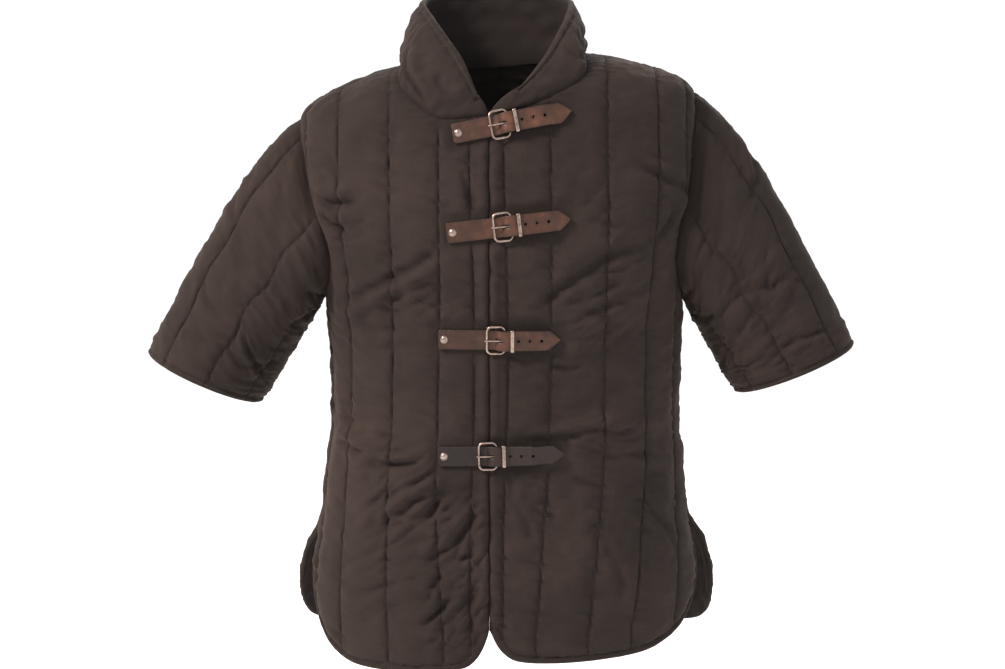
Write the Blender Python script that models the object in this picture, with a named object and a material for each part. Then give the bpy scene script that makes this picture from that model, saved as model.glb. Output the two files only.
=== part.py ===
import math

import bmesh
import bpy
import numpy as np
from mathutils.geometry import delaunay_2d_cdt

# Sizes are in metres and angles in degrees.
# Turn is the angle round the body: 0 at the front, 90 at the wearer's left side, 180 at the back.
SECTION_COLUMNS = ("height", "half_width", "front_depth", "back_depth", "centre", "tilt", "back_half_width")
SECTIONS = (
    (0.004, 0.102, 0.076, 0.068, -0.012, 0.066, 0.102),
    (-0.006, 0.129, 0.083, 0.074, -0.012, 0.068, 0.129),
    (-0.018, 0.170, 0.090, 0.082, -0.012, 0.070, 0.170),
    (-0.032, 0.209, 0.096, 0.089, -0.010, 0.070, 0.209),
    (-0.046, 0.236, 0.101, 0.095, -0.008, 0.069, 0.236),
    (-0.059, 0.2485, 0.105, 0.099, -0.007, 0.066, 0.2485),
    (-0.085, 0.2530, 0.111, 0.105, -0.006, 0.056, 0.2530),
    (-0.130, 0.2525, 0.121, 0.111, -0.005, 0.038, 0.2525),
    (-0.180, 0.2490, 0.131, 0.114, -0.003, 0.020, 0.2490),
    (-0.240, 0.2390, 0.136, 0.113, 0.000, 0.004, 0.2390),
    (-0.300, 0.2290, 0.134, 0.109, 0.002, -0.010, 0.2290),
    (-0.380, 0.2235, 0.127, 0.103, 0.004, -0.004, 0.2235),
    (-0.455, 0.2225, 0.122, 0.100, 0.004, 0.004, 0.2225),
    (-0.520, 0.2300, 0.124, 0.106, 0.003, 0.012, 0.2300),
    (-0.590, 0.2375, 0.129, 0.114, 0.002, 0.026, 0.2380),
    (-0.640, 0.2460, 0.131, 0.118, 0.003, 0.028, 0.2640),
    (-0.700, 0.2520, 0.132, 0.120, 0.004, 0.032, 0.2745),
    (-0.780, 0.2520, 0.131, 0.120, 0.004, 0.034, 0.2740),
)
SQUARENESS = 2.4
CLOSING_X = -0.0165
CLOSING_GAP = 0.0022
SEAM_GAP = 0.00035
WALL = 0.0062
QUILT_RISE = 0.0034
EDGE_FADE = 0.016
HOLD_DOWN = 0.020

# Neckline, armhole and hem as (turn, height) rows, from the front to the back of one side.
NECKLINE_RIGHT = (
    (3, -0.0690), (8, -0.0700), (12, -0.0710), (15.5, -0.0695), (19, -0.0610), (23, -0.0490), (29, -0.0350),
    (45, -0.0130), (62, -0.0040), (90, 0.0),
)
NECKLINE_LEFT = (
    (3, -0.0670), (8, -0.0615), (13, -0.0545), (18, -0.0470), (24, -0.0385), (32, -0.0280), (45, -0.0125),
    (62, -0.0040), (90, 0.0),
)
NECKLINE_BACK = ((90, 0.0), (120, -0.0015), (150, -0.0060), (180, -0.0085))
ARMHOLE_FRONT = (
    (90, -0.059), (80, -0.071), (72, -0.103), (69, -0.140), (66, -0.178), (61.5, -0.212),
    (61, -0.240), (65, -0.268), (75, -0.291), (90, -0.302),
)
ARMHOLE_BACK = (
    (90, -0.059), (100, -0.071), (108, -0.103), (111, -0.140), (112, -0.180), (112, -0.220),
    (109, -0.255), (102, -0.284), (90, -0.302),
)
HEM_FRONT = (
    (1.0, -0.7300), (3.4, -0.7480), (7.5, -0.7580), (14, -0.7620), (22, -0.7630), (32.5, -0.7620),
    (43.5, -0.7580), (52.5, -0.7475), (59.5, -0.7350), (66, -0.7180), (73, -0.6930), (78, -0.6710),
    (83, -0.6440), (87.5, -0.6150), (90, -0.5900),
)
HEM_BACK = (
    (90, -0.5900), (91.0, -0.6200), (91.5, -0.6500), (92, -0.6780), (93.5, -0.7030), (97.5, -0.7250),
    (104, -0.7420), (113, -0.7560), (125, -0.7640), (145, -0.7670), (180, -0.7680),
)

RIGHT_FLAP_RISE = 0.036
HEM_SLOPE = 0.0035

# Quilting lines as the turn at three heights: chest, waist and hem.
QUILT_HEIGHTS = (-0.150, -0.455, -0.720)
QUILT_RIGHT = (
    (-8.0, -10.0, -10.0), (-18.0, -20.0, -17.5), (-32.0, -36.0, -34.0), (-48.0, -56.0, -52.0), (-68.0, -77.0, -70.0)
)
QUILT_LEFT = ((1.5, 0.5, -1.0), (14.5, 14.5, 9.0), (30.0, 32.0, 25.0), (46.0, 50.0, 40.0), (63.0, 69.0, 56.0))
QUILT_BACK = (
    (104, 102, 102), (118, 116, 116), (132, 131, 130), (147, 147, 146), (163, 163, 163), (180, 180, 180),
    (197, 197, 197), (213, 213, 214), (228, 229, 230), (242, 244, 244), (256, 258, 258),
)

# Folds of the whole wall: turn and height of both ends, width across, rise outward.
FOLDS = (
    (-20, -0.262, -58, -0.318, 0.030, 0.006),
    (-24, -0.238, -60, -0.285, 0.022, -0.004),
    (-34, -0.486, -62, -0.478, 0.030, 0.006),
    (-18, -0.512, -42, -0.560, 0.024, 0.006),
    (-11, -0.556, -24, -0.606, 0.022, 0.005),
    (18, -0.338, 46, -0.272, 0.030, 0.006),
    (22, -0.370, 52, -0.326, 0.024, -0.004),
    (16, -0.470, 52, -0.452, 0.030, 0.006),
    (50, -0.150, 66, -0.200, 0.024, 0.006),
    (-50, -0.160, -64, -0.205, 0.024, 0.006),
    (112, -0.330, 150, -0.290, 0.034, 0.006),
    (206, -0.300, 246, -0.345, 0.034, 0.006),
    (108, -0.455, 164, -0.440, 0.040, 0.007),
    (192, -0.470, 250, -0.452, 0.040, 0.006),
    (128, -0.560, 172, -0.600, 0.034, 0.005),
)

# Collar rim on its outside: turn of the neckline below it, x, y, height.
COLLAR_RIM = (
    (-9, -0.0300, -0.1000, -0.0440), (-15, -0.0400, -0.0950, -0.0200), (-24, -0.0500, -0.0870, 0.0010),
    (-35, -0.0670, -0.0720, 0.0250), (-52, -0.0860, -0.0470, 0.0500), (-90, -0.1020, 0.0010, 0.0720),
    (-130, -0.0850, 0.0500, 0.0800), (-180, -0.0080, 0.0740, 0.0830), (-230, 0.0680, 0.0500, 0.0800),
    (-270, 0.0880, 0.0010, 0.0720), (-308, 0.0810, -0.0450, 0.0530), (-325, 0.0700, -0.0680, 0.0350),
    (-336, 0.0570, -0.0840, 0.0120), (-345, 0.0430, -0.0930, -0.0080), (-356, 0.0230, -0.1010, -0.0330),
)
COLLAR_WALL = 0.0075
COLLAR_ROWS = (0.0, 0.012, 0.024, 0.14, 0.32, 0.50, 0.68, 0.86, 1.0)

# Sleeves: side, cuff centre, cuff half width, slant of the cuff line, lean of the sleeve from upright,
# fall of the sleeve head where it leaves the shoulder.
SLEEVES = (("sleeve_right", -1, (-0.3855, -0.012, -0.4090), 0.0790, 24.5, 31.0, 36.0),
           ("sleeve_left", 1, (0.3785, -0.012, -0.3970), 0.0815, 23.0, 31.5, 33.0))
CUFF_HALF_DEPTH = 0.068
SLEEVE_ROWS = (0.0, 0.006, 0.012, 0.05, 0.11, 0.18, 0.26, 0.34, 0.43, 0.52, 0.61, 0.70, 0.79, 0.88, 0.96, 1.0)
SLEEVE_POINTS = 24
SLEEVE_CHANNELS = 8

# Closures: x of the loose bar of the buckle, height, slant, strap behind it, strap past it, twist of the tip.
CLOSURES = (
    (-0.0140, -0.0840, 11.0, 0.048, 0.101, 0.0),
    (-0.0105, -0.2060, 6.5, 0.058, 0.095, 0.0),
    (-0.0190, -0.3435, 0.0, 0.060, 0.091, 0.0),
    (-0.0290, -0.4910, 1.5, 0.051, 0.106, 0.004),
)
STRAP_WIDTH = 0.025
STRAP_THICKNESS = 0.0026
STRAP_TIP = 0.016
HOLE_RADIUS = 0.0018
HOLE_STEP = 0.014
FRAME_LENGTH = 0.0215
FRAME_WIDTH = 0.0335
FRAME_CORNER = 0.0050
WIRE = 0.0015
LOOSE_BAR_LIFT = 0.0048
HEEL_LIFT = 0.0043
PRONG_WIRE = 0.0011
CHAPE_PLY = 0.0015
CHAPE_WIDTH = 0.022
CHAPE_LENGTH = 0.044
KEEPER_AT = 0.0095
KEEPER_LIFT = 0.0040
KEEPER_BAND = 0.0040
RIVET_RADIUS = 0.0052
RIVET_RISE = 0.0022
GAP = 0.0003
CLOTH_CLEARANCE = 0.0010

MATERIALS = {
    "quilted_cotton": ((0.052, 0.041, 0.037, 1.0), 0.86, 0.0),
    "brown_leather": ((0.115, 0.066, 0.050, 1.0), 0.52, 0.0),
    "nickel_plated_steel": ((0.62, 0.58, 0.56, 1.0), 0.28, 1.0),
}


def clear_scene():
    for obj in list(bpy.data.objects):
        bpy.data.objects.remove(obj, do_unlink=True)


def smooth(xs, ys, at):
    # Cubic curve through the rows of a table that never overshoots them.
    xs = np.asarray(xs, float)
    ys = np.asarray(ys, float)
    step = np.diff(xs)
    slope = np.diff(ys) / step
    grade = np.concatenate([[slope[0]], np.zeros(len(xs) - 2), [slope[-1]]])
    same = slope[:-1] * slope[1:] > 0
    pair = np.where(same, slope[:-1] + slope[1:], 1.0)
    grade[1:-1] = np.where(same, 2 * slope[:-1] * slope[1:] / pair, 0.0)
    at = np.clip(np.asarray(at, float), xs[0], xs[-1])
    i = np.clip(np.searchsorted(xs, at) - 1, 0, len(xs) - 2)
    t = (at - xs[i]) / step[i]
    low = (1 + 2 * t) * (1 - t) ** 2 * ys[i] + t * t * (3 - 2 * t) * ys[i + 1]
    return low + step[i] * (t * (1 - t) ** 2 * grade[i] - t * t * (1 - t) * grade[i + 1])


def spline(keys, count):
    # Evenly spread points on the round curve through the rows of a table.
    keys = np.asarray(keys, float)
    along = np.concatenate([[0], np.cumsum(np.linalg.norm(np.diff(keys / keys.std(0), axis=0), axis=1))])
    at = np.linspace(0, along[-1], count)
    return np.stack([smooth(along, keys[:, k], at) for k in range(keys.shape[1])], axis=1)


def section(z):
    table = np.array(SECTIONS[::-1])
    return {name: smooth(table[:, 0], table[:, k], z) for k, name in enumerate(SECTION_COLUMNS)}


def skin(turn, z, behind):
    # Point of the garment's plain outside at a turn and a height.
    row = section(z)
    angle = np.radians(turn)
    s, c = np.sin(angle), np.cos(angle)
    width = row["back_half_width"] if behind else row["half_width"]
    depth = row["back_depth"] if behind else row["front_depth"]
    reach = (np.abs(s) ** SQUARENESS + np.abs(c) ** SQUARENESS) ** (-1 / SQUARENESS)
    across = width * reach * s
    return np.stack([row["centre"] + across, -depth * reach * c, z + row["tilt"] * across], axis=-1)


def unit(v):
    return v / np.maximum(np.linalg.norm(v, axis=-1, keepdims=True), 1e-12)


def outward(turn, z, behind):
    round_it = skin(turn + 0.05, z, behind) - skin(turn - 0.05, z, behind)
    up = skin(turn, z + 1e-4, behind) - skin(turn, z - 1e-4, behind)
    return unit(np.cross(round_it, up))


def turn_at(x, z):
    # Turn of a place near the front, found from its x.
    row = section(z)
    part = np.clip((x - row["centre"]) / row["half_width"], -0.99, 0.99)
    depth = (1 - np.abs(part) ** SQUARENESS) ** (1 / SQUARENESS)
    return np.degrees(np.arctan2(part, depth))


def flat(turn, z):
    # Even drawing of the panels: turn as a length, and height as the length over the shoulder.
    rows = np.linspace(-0.78, 0.004, 400)
    width = section(rows)["half_width"]
    length = np.concatenate([[0], np.cumsum(np.hypot(np.diff(rows), 0.75 * np.diff(width)))])
    return np.stack([np.radians(turn) * 0.2, np.interp(z, rows, length)], axis=-1)


def from_flat(points):
    rows = np.linspace(-0.78, 0.004, 400)
    width = section(rows)["half_width"]
    length = np.concatenate([[0], np.cumsum(np.hypot(np.diff(rows), 0.75 * np.diff(width)))])
    return np.degrees(points[:, 0] / 0.2), np.interp(points[:, 1], length, rows)


def fold_rise(turn, z):
    # How far the folds carry the whole wall outward.
    here = flat(turn, z)
    total = np.zeros(len(here))
    for turn0, z0, turn1, z1, width, rise in FOLDS:
        a = flat(np.array([turn0]), np.array([z0]))[0]
        b = flat(np.array([turn1]), np.array([z1]))[0]
        along = np.clip((here - a) @ (b - a) / ((b - a) @ (b - a)), 0, 1)
        off = np.linalg.norm(here - a - along[:, None] * (b - a), axis=1)
        total += rise * np.exp(-((off / width * 1.6) ** 2)) * np.sin(math.pi * (0.12 + 0.76 * along))
    return total


def edge_distance(points, outline):
    # Distance from each point of a drawing to its outline.
    a = outline
    d = np.roll(outline, -1, axis=0) - a
    best = np.full(len(points), 1.0)
    for start, run in zip(a, d):
        t = np.clip((points - start) @ run / max(run @ run, 1e-15), 0, 1)
        best = np.minimum(best, np.linalg.norm(points - start - t[:, None] * run, axis=1))
    return best


def inside(points, outline):
    a = outline
    b = np.roll(outline, -1, axis=0)
    hits = np.zeros(len(points), bool)
    for (x0, y0), (x1, y1) in zip(a, b):
        if y0 == y1:
            continue
        crosses = (y0 > points[:, 1]) != (y1 > points[:, 1])
        hits ^= crosses & (points[:, 0] < (x1 - x0) * (points[:, 1] - y0) / (y1 - y0) + x0)
    return hits


def line_turns(lines, z):
    # Turn of every quilting line at the given heights, a column for each line.
    heights = QUILT_HEIGHTS[::-1]
    return np.stack([smooth(heights, line[::-1], z) for line in lines], axis=-1)


def quilt_rise(turn, z, lines):
    # Rise of the padding between two quilting lines.
    order = np.sort(line_turns(lines, z), axis=-1)
    first = order[..., :1] - (order[..., 1:2] - order[..., :1])
    last = order[..., -1:] + (order[..., -1:] - order[..., -2:-1])
    order = np.concatenate([first, order, last], axis=-1)
    k = np.clip((order <= turn[..., None]).sum(-1) - 1, 0, order.shape[-1] - 2)
    low = np.take_along_axis(order, k[..., None], -1)[..., 0]
    high = np.take_along_axis(order, k[..., None] + 1, -1)[..., 0]
    share = np.clip((turn - low) / (high - low), 0, 1)
    return np.sin(math.pi * share) ** 0.8


def held_down(x, z):
    # 1 away from the closures, 0 where a strap lies on the padding.
    free = np.ones(len(x))
    for bar_x, height, slant, behind, past, _ in CLOSURES:
        c, s = math.cos(math.radians(slant)), math.sin(math.radians(slant))
        along = (x - bar_x) * c + (z - height) * s
        across = -(x - bar_x) * s + (z - height) * c
        off = np.maximum(np.maximum(-behind - along, along - past), np.abs(across) - STRAP_WIDTH / 2 - 0.006)
        free = np.minimum(free, np.clip(off / HOLD_DOWN, 0, 1))
    return free


def triangles(outlines, extra, size):
    # Triangles of a drawing with holes, and its points.
    points = [tuple(p) for loop in outlines for p in loop] + [tuple(p) for p in extra]
    edges = []
    start = 0
    for loop in outlines:
        edges += [(start + i, start + (i + 1) % len(loop)) for i in range(len(loop))]
        start += len(loop)
    found = delaunay_2d_cdt([(p[0] / size, p[1] / size) for p in points], edges, [], 0, 1e-6)
    flat_points = np.array([tuple(v) for v in found[0]]) * size
    faces = np.array([tuple(f) for f in found[2]])
    middle = flat_points[faces].mean(axis=1)
    keep = inside(middle, np.asarray(outlines[0]))
    for hole in outlines[1:]:
        keep &= ~inside(middle, np.asarray(hole))
    return flat_points, faces[keep]


def add_object(name, points, faces, material, smooth_shading=True):
    mesh = bpy.data.meshes.new(name)
    mesh.from_pydata([tuple(p) for p in points], [], [tuple(int(i) for i in f) for f in faces])
    work = bmesh.new()
    work.from_mesh(mesh)
    bmesh.ops.delete(work, geom=[v for v in work.verts if not v.link_faces], context="VERTS")
    bmesh.ops.recalc_face_normals(work, faces=work.faces)
    if work.calc_volume(signed=True) < 0:
        bmesh.ops.reverse_faces(work, faces=work.faces)
    work.to_mesh(mesh)
    work.free()
    for polygon in mesh.polygons:
        polygon.use_smooth = smooth_shading
    mesh.materials.append(material)
    obj = bpy.data.objects.new(name, mesh)
    bpy.context.scene.collection.objects.link(obj)
    return obj


def slab(name, outlines, extra, size, upper, lower, material):
    # Closed solid between two images of one drawing.
    drawing, faces = triangles(outlines, extra, size)
    count = len(drawing)
    edges = np.concatenate([faces[:, [0, 1]], faces[:, [1, 2]], faces[:, [2, 0]]])
    seen = {tuple(e) for e in edges.tolist()}
    rims = [(a, b) for a, b in seen if (b, a) not in seen]
    sides = [(b, a, a + count, b + count) for a, b in rims]
    both = [tuple(f) for f in faces.tolist()] + [tuple(i + count for i in f[::-1]) for f in faces.tolist()]
    points = np.concatenate([upper(drawing), lower(drawing)])
    return add_object(name, points, both + sides, material)


def shell(name, outer, inner, closed, material):
    # Closed solid between two grids of points; rows run along it, columns round it.
    rows, columns = outer.shape[:2]
    points = np.concatenate([outer.reshape(-1, 3), inner.reshape(-1, 3)])
    shift = rows * columns
    faces = []
    last = columns if closed else columns - 1
    for r in range(rows - 1):
        for c in range(last):
            a, b = r * columns + c, r * columns + (c + 1) % columns
            faces.append((a, b, b + columns, a + columns))
            faces.append((a + shift, a + columns + shift, b + columns + shift, b + shift))
    for r, turned in ((0, False), (rows - 1, True)):
        for c in range(last):
            a, b = r * columns + c, r * columns + (c + 1) % columns
            side = (a, a + shift, b + shift, b)
            faces.append(side[::-1] if turned else side)
    if not closed:
        for c, turned in ((0, True), (columns - 1, False)):
            for r in range(rows - 1):
                a, b = r * columns + c, (r + 1) * columns + c
                side = (a, a + shift, b + shift, b)
                faces.append(side[::-1] if turned else side)
    return add_object(name, points, faces, material)


def front_outline(side):
    # Drawing of one front, from the neck down its closing edge, round the hem and up the side.
    gap = SEAM_GAP / 2
    edge_x = CLOSING_X + side * CLOSING_GAP / 2
    heights = np.linspace(neckline_samples(side)[0, 1], -0.705, 22)
    closing = np.stack([turn_at(edge_x, heights), heights], axis=1)
    hem = spline(HEM_FRONT, 26)[:-1]
    hem[:, 1] += side * HEM_SLOPE * np.clip(-(hem[:, 1] + 0.66) / 0.1, 0, 1)
    hem[:, 0] = side * hem[:, 0] + closing[-1, 0] * (1 - hem[:, 0] / 90)
    back_off = 90 - math.degrees(gap / 0.13)
    seam_z = np.linspace(-0.590, -0.302, 10)
    seam = np.stack([np.full(10, side * back_off), seam_z], axis=1)
    armhole = spline(ARMHOLE_FRONT, 13)[::-1][1:-1]
    armhole[:, 0] *= side
    shoulder_z = np.array([-0.059, -0.052, -0.043, -0.034, -0.025, -0.016, -0.008, 0.0])
    shoulder = np.stack([np.full(8, side * back_off), shoulder_z], axis=1)
    neck = neckline_samples(side)[1:][::-1][1:]
    return flat(*np.concatenate([closing, hem, seam, armhole, shoulder, neck]).T)


def neckline_samples(side):
    # Turn and height along the front neckline, from the closing edge to the shoulder.
    samples = spline(NECKLINE_LEFT if side > 0 else NECKLINE_RIGHT, 13)
    samples[:, 0] *= side
    top = samples[0, 1]
    start = turn_at(CLOSING_X + side * CLOSING_GAP / 2, np.array([top]))[0]
    samples = samples[side * samples[:, 0] > side * start + 3]
    return np.concatenate([[[start, top]], samples])


def back_outline():
    gap = math.degrees(SEAM_GAP / 2 / 0.11)
    hem = spline(HEM_BACK, 22)
    hem[0, 0] += gap
    seam_z = np.linspace(-0.302, -0.590, 10)[:-1]
    seam = np.stack([np.full(9, 90 + gap), seam_z], axis=1)
    armhole = spline(ARMHOLE_BACK, 13)[1:-1]
    shoulder_z = np.array([0.0, -0.008, -0.016, -0.025, -0.034, -0.043, -0.052, -0.059])
    shoulder = np.stack([np.full(8, 90 + gap), shoulder_z], axis=1)
    neck = spline(NECKLINE_BACK, 9)[::-1][:-1]
    half = np.concatenate([neck, shoulder, armhole, seam, hem])
    other = half[1:-1][::-1].copy()
    other[:, 0] = 360 - other[:, 0]
    beside = np.clip((other[:, 0] - 180) / 60, 0, 1)  # none at the middle of the back
    other[:, 1] += RIGHT_FLAP_RISE * beside * np.clip(1 - np.abs(other[:, 1] + 0.725) / 0.08, 0, 1)
    return flat(*np.concatenate([half, other]).T)


def lattice(outline, lines, low_turn, high_turn, row_step):
    # Points on the quilting lines and between them, inside the outline.
    rows = np.arange(outline[:, 1].min() + 0.012, outline[:, 1].max(), row_step)
    _, heights = from_flat(np.stack([np.zeros(len(rows)), rows], axis=1))
    found = []
    for k, z in enumerate(heights):
        at = np.sort(line_turns(lines, z))
        at = np.concatenate([[low_turn], at, [high_turn]])
        between = [at[i] + (at[i + 1] - at[i]) * f for i in range(len(at) - 1) for f in (0, 1 / 3, 2 / 3)]
        found.append(flat(np.array(between), np.full(len(between), z)))
    found = np.concatenate(found)
    found = found[inside(found, outline)]
    return found[edge_distance(found, outline) > 0.007]


def strap_beds(outline):
    # Points of the drawing under and beside each strap.
    found = []
    for closure in CLOSURES:
        c, s = math.cos(math.radians(closure[2])), math.sin(math.radians(closure[2]))
        along, across = np.meshgrid(np.arange(-closure[3] - 0.006, closure[4] + 0.012, 0.017), (-0.018, 0.0, 0.018))
        along, across = along.ravel(), across.ravel()
        x = closure[0] + along * c - across * s
        level = closure[1] + along * s + across * c
        z = level - section(level)["tilt"] * (x - section(level)["centre"])
        found.append(flat(turn_at(x, z), z))
    found = np.concatenate(found)
    found = found[inside(found, outline)]
    return found[edge_distance(found, outline) > 0.004]


def panel(name, outline, lines, limits, behind, material):
    extra = lattice(outline, lines, limits[0], limits[1], 0.034)
    if not behind:
        beds = strap_beds(outline)
        apart = np.linalg.norm(extra[:, None] - beds[None], axis=2).min(axis=1)
        extra = np.concatenate([extra[apart > 0.011], beds])

    def raised(points):
        turn, z = from_flat(points)
        place = skin(turn, z, behind)
        fade = np.clip(edge_distance(points, outline) / EDGE_FADE, 0, 1) ** 0.6
        free = np.ones(len(turn)) if behind else held_down(place[:, 0], place[:, 2])
        rise = QUILT_RISE * quilt_rise(turn, z, lines) * fade * free
        return place + outward(turn, z, behind) * (rise + fold_rise(turn, z) * fade * free)[:, None]

    def plain(points):
        turn, z = from_flat(points)
        place = skin(turn, z, behind)
        fade = np.clip(edge_distance(points, outline) / EDGE_FADE, 0, 1) ** 0.6
        free = np.ones(len(turn)) if behind else held_down(place[:, 0], place[:, 2])
        return place + outward(turn, z, behind) * (fold_rise(turn, z) * fade * free - WALL)[:, None]

    return slab(name, [outline], extra, 1.0, raised, plain, material)


def grid_normals(points, closed, centre):
    # Outward direction at each point of a grid.
    along = np.gradient(points, axis=0)
    if closed:
        round_it = np.roll(points, -1, axis=1) - np.roll(points, 1, axis=1)
    else:
        round_it = np.gradient(points, axis=1)
    n = unit(np.cross(round_it, along))
    flip = (n * (points - centre)).sum(-1, keepdims=True) < 0
    return np.where(flip, -n, n)


def fanned(first, normals, across, rows):
    # Wall direction that starts as the next piece's edge and turns to the piece's own,
    # at once in a valley and slowly over a ridge.
    ridge = (normals[2] * across).sum(-1, keepdims=True) > 0
    reach = np.where(ridge, 0.18, rows[2])
    share = np.clip(np.asarray(rows)[:, None, None] / reach, 0, 1)
    return unit(first * (1 - share) + normals * share)


def edge_shift(ring, normals, toward):
    # Direction across a seam, along the cloth, away from the panel.
    along = np.gradient(ring, axis=0)
    across = unit(np.cross(along, normals))
    flip = (across * toward).sum(-1, keepdims=True) < 0
    return np.where(flip, -across, across)


def collar(material):
    left = neckline_samples(1)
    right = neckline_samples(-1)
    back = spline(NECKLINE_BACK, 9)
    back_half = np.stack([360 - back[:, 0], back[:, 1]], axis=1)[::-1]
    turns = np.concatenate([right[:, 0], -back[1:, 0], -back_half[1:-1, 0], left[::-1][:, 0] - 360])
    heights = np.concatenate([right[:, 1], back[1:, 1], back_half[1:-1, 1], left[::-1][:, 1]])
    base = np.where((np.abs(turns + 180) < 90)[:, None], skin(turns, heights, True), skin(turns, heights, False))
    body_out = np.where(
        (np.abs(turns + 180) < 90)[:, None], outward(turns, heights, True), outward(turns, heights, False)
    )
    rim_table = np.array(COLLAR_RIM[::-1])
    at = np.clip(turns, rim_table[0, 0], rim_table[-1, 0])
    at[0], at[-1] = rim_table[-1, 0], rim_table[0, 0]
    rim = np.stack([smooth(rim_table[:, 0], rim_table[:, k], at) for k in (1, 2, 3)], axis=1)
    across = edge_shift(base, body_out, rim - base)
    base = base + across * SEAM_GAP * 2
    length = np.linalg.norm(rim - base, axis=1, keepdims=True)
    up = np.array([0.0, 0.0, 1.0])
    middle = base + unit(0.3 * across + 0.7 * up) * length * 0.5
    v = np.array(COLLAR_ROWS)[:, None, None]
    outer = (1 - v) ** 2 * base + 2 * v * (1 - v) * middle + v * v * rim
    normals = grid_normals(outer, False, np.array([-0.010, 0.0, 0.02]))
    fan = fanned(body_out, normals, across, COLLAR_ROWS)
    rise = QUILT_RISE * np.sin(math.pi * np.clip((v - 0.02) / 0.98, 0, 1)) ** 0.7
    inner = outer - fan * COLLAR_WALL
    return shell("collar", outer + normals * rise, inner, False, material)


def sleeve(name, side, centre, half_width, slant, lean, fall, material):
    half = SLEEVE_POINTS // 2
    front = spline(ARMHOLE_FRONT, half + 1)
    back = spline(ARMHOLE_BACK, half + 1)[::-1]
    ring_front = skin(side * front[:, 0], front[:, 1], False)
    ring_back = skin(side * back[1:-1, 0], back[1:-1, 1], True)
    out_front = outward(side * front[:, 0], front[:, 1], False)
    out_back = outward(side * back[1:-1, 0], back[1:-1, 1], True)
    base = np.concatenate([ring_front, ring_back])
    body_out = np.concatenate([out_front, out_back])
    middle = base.mean(axis=0)
    doubled = np.concatenate([base[-1:], base, base[:1]])
    across = edge_shift(doubled, np.concatenate([body_out[-1:], body_out, body_out[:1]]),
                        middle - doubled)[1:-1]
    base = base + across * SEAM_GAP * 2
    angle = np.radians(np.arange(SLEEVE_POINTS) * 360 / SLEEVE_POINTS)
    line = math.radians(slant)
    width_way = np.array([side * math.cos(line), 0.0, math.sin(line)])
    depth_way = np.array([0.0, -1.0, 0.0])
    cuff = (np.array(centre) + half_width * np.cos(angle)[:, None] * width_way
            + CUFF_HALF_DEPTH * np.sin(angle)[:, None] * depth_way)
    down = math.radians(lean)
    leave = np.array([side * math.sin(down), 0.0, -math.cos(down)])
    top = np.clip(np.cos(angle), 0, 1)[:, None]
    low = np.clip(-np.cos(angle), 0, 1)[:, None]
    face = np.abs(np.sin(angle))[:, None]
    head = np.array([side * math.cos(math.radians(fall)), 0, -math.sin(math.radians(fall))])
    start = unit(top * head + low * np.array([side * 0.50, 0, -0.86])
                 + face * (np.array([side * 0.74, 0, -0.56])) + np.sin(angle)[:, None] * np.array([0, -0.34, 0]))
    length = np.linalg.norm(cuff - base, axis=1, keepdims=True)
    t = np.array(SLEEVE_ROWS)[:, None, None]
    h00 = 2 * t ** 3 - 3 * t ** 2 + 1
    h10 = t ** 3 - 2 * t ** 2 + t
    h01 = -2 * t ** 3 + 3 * t ** 2
    h11 = t ** 3 - t ** 2
    outer = h00 * base + h10 * start * length * 0.80 + h01 * cuff + h11 * leave * length * 0.80
    axis = outer.mean(axis=1, keepdims=True)
    normals = grid_normals(outer, True, axis)
    normals[0] = normals[1] = normals[2] = unit(normals[2] + normals[3])
    fan = fanned(body_out, normals, across, SLEEVE_ROWS)
    channel = SLEEVE_CHANNELS * np.arange(SLEEVE_POINTS) / SLEEVE_POINTS
    rise = QUILT_RISE * np.abs(np.sin(math.pi * channel))[None, :, None] ** 0.8
    rise = rise * np.clip(np.minimum(t - 0.012, 1 - t) / 0.06, 0, 1) ** 0.6
    return shell(name, outer + normals * rise, outer - fan * WALL, True, material)


def place(closure, points):
    # Points of a closure, as along, across and lift, laid on the fronts.
    bar_x, height, slant = closure[:3]
    c, s = math.cos(math.radians(slant)), math.sin(math.radians(slant))
    points = np.asarray(points, float)
    x = bar_x + points[:, 0] * c - points[:, 1] * s
    level = height + points[:, 0] * s + points[:, 1] * c
    z = level - section(level)["tilt"] * (x - section(level)["centre"])
    turn = turn_at(x, z)
    return skin(turn, z, False) + outward(turn, z, False) * (points[:, 2:3] + CLOTH_CLEARANCE)


def strap_lift(closure, along):
    # Height of the strap's underside over the cloth along its length.
    heel = FRAME_LENGTH
    over = HEEL_LIFT + WIRE + 2 * PRONG_WIRE + 3 * GAP
    rest = 2 * CHAPE_PLY + 4 * GAP + RIVET_RISE
    keys = (-0.07, 0.0068, heel - 0.0036, heel + 0.001, heel + KEEPER_AT + 0.003, heel + 0.030,
            heel + CHAPE_LENGTH - 0.001, heel + CHAPE_LENGTH + 0.018, 0.13)
    lifts = (GAP, GAP, over - 0.0004, over, KEEPER_LIFT + 0.0030, rest, rest, GAP, GAP)
    return smooth(keys, lifts, along)


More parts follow.
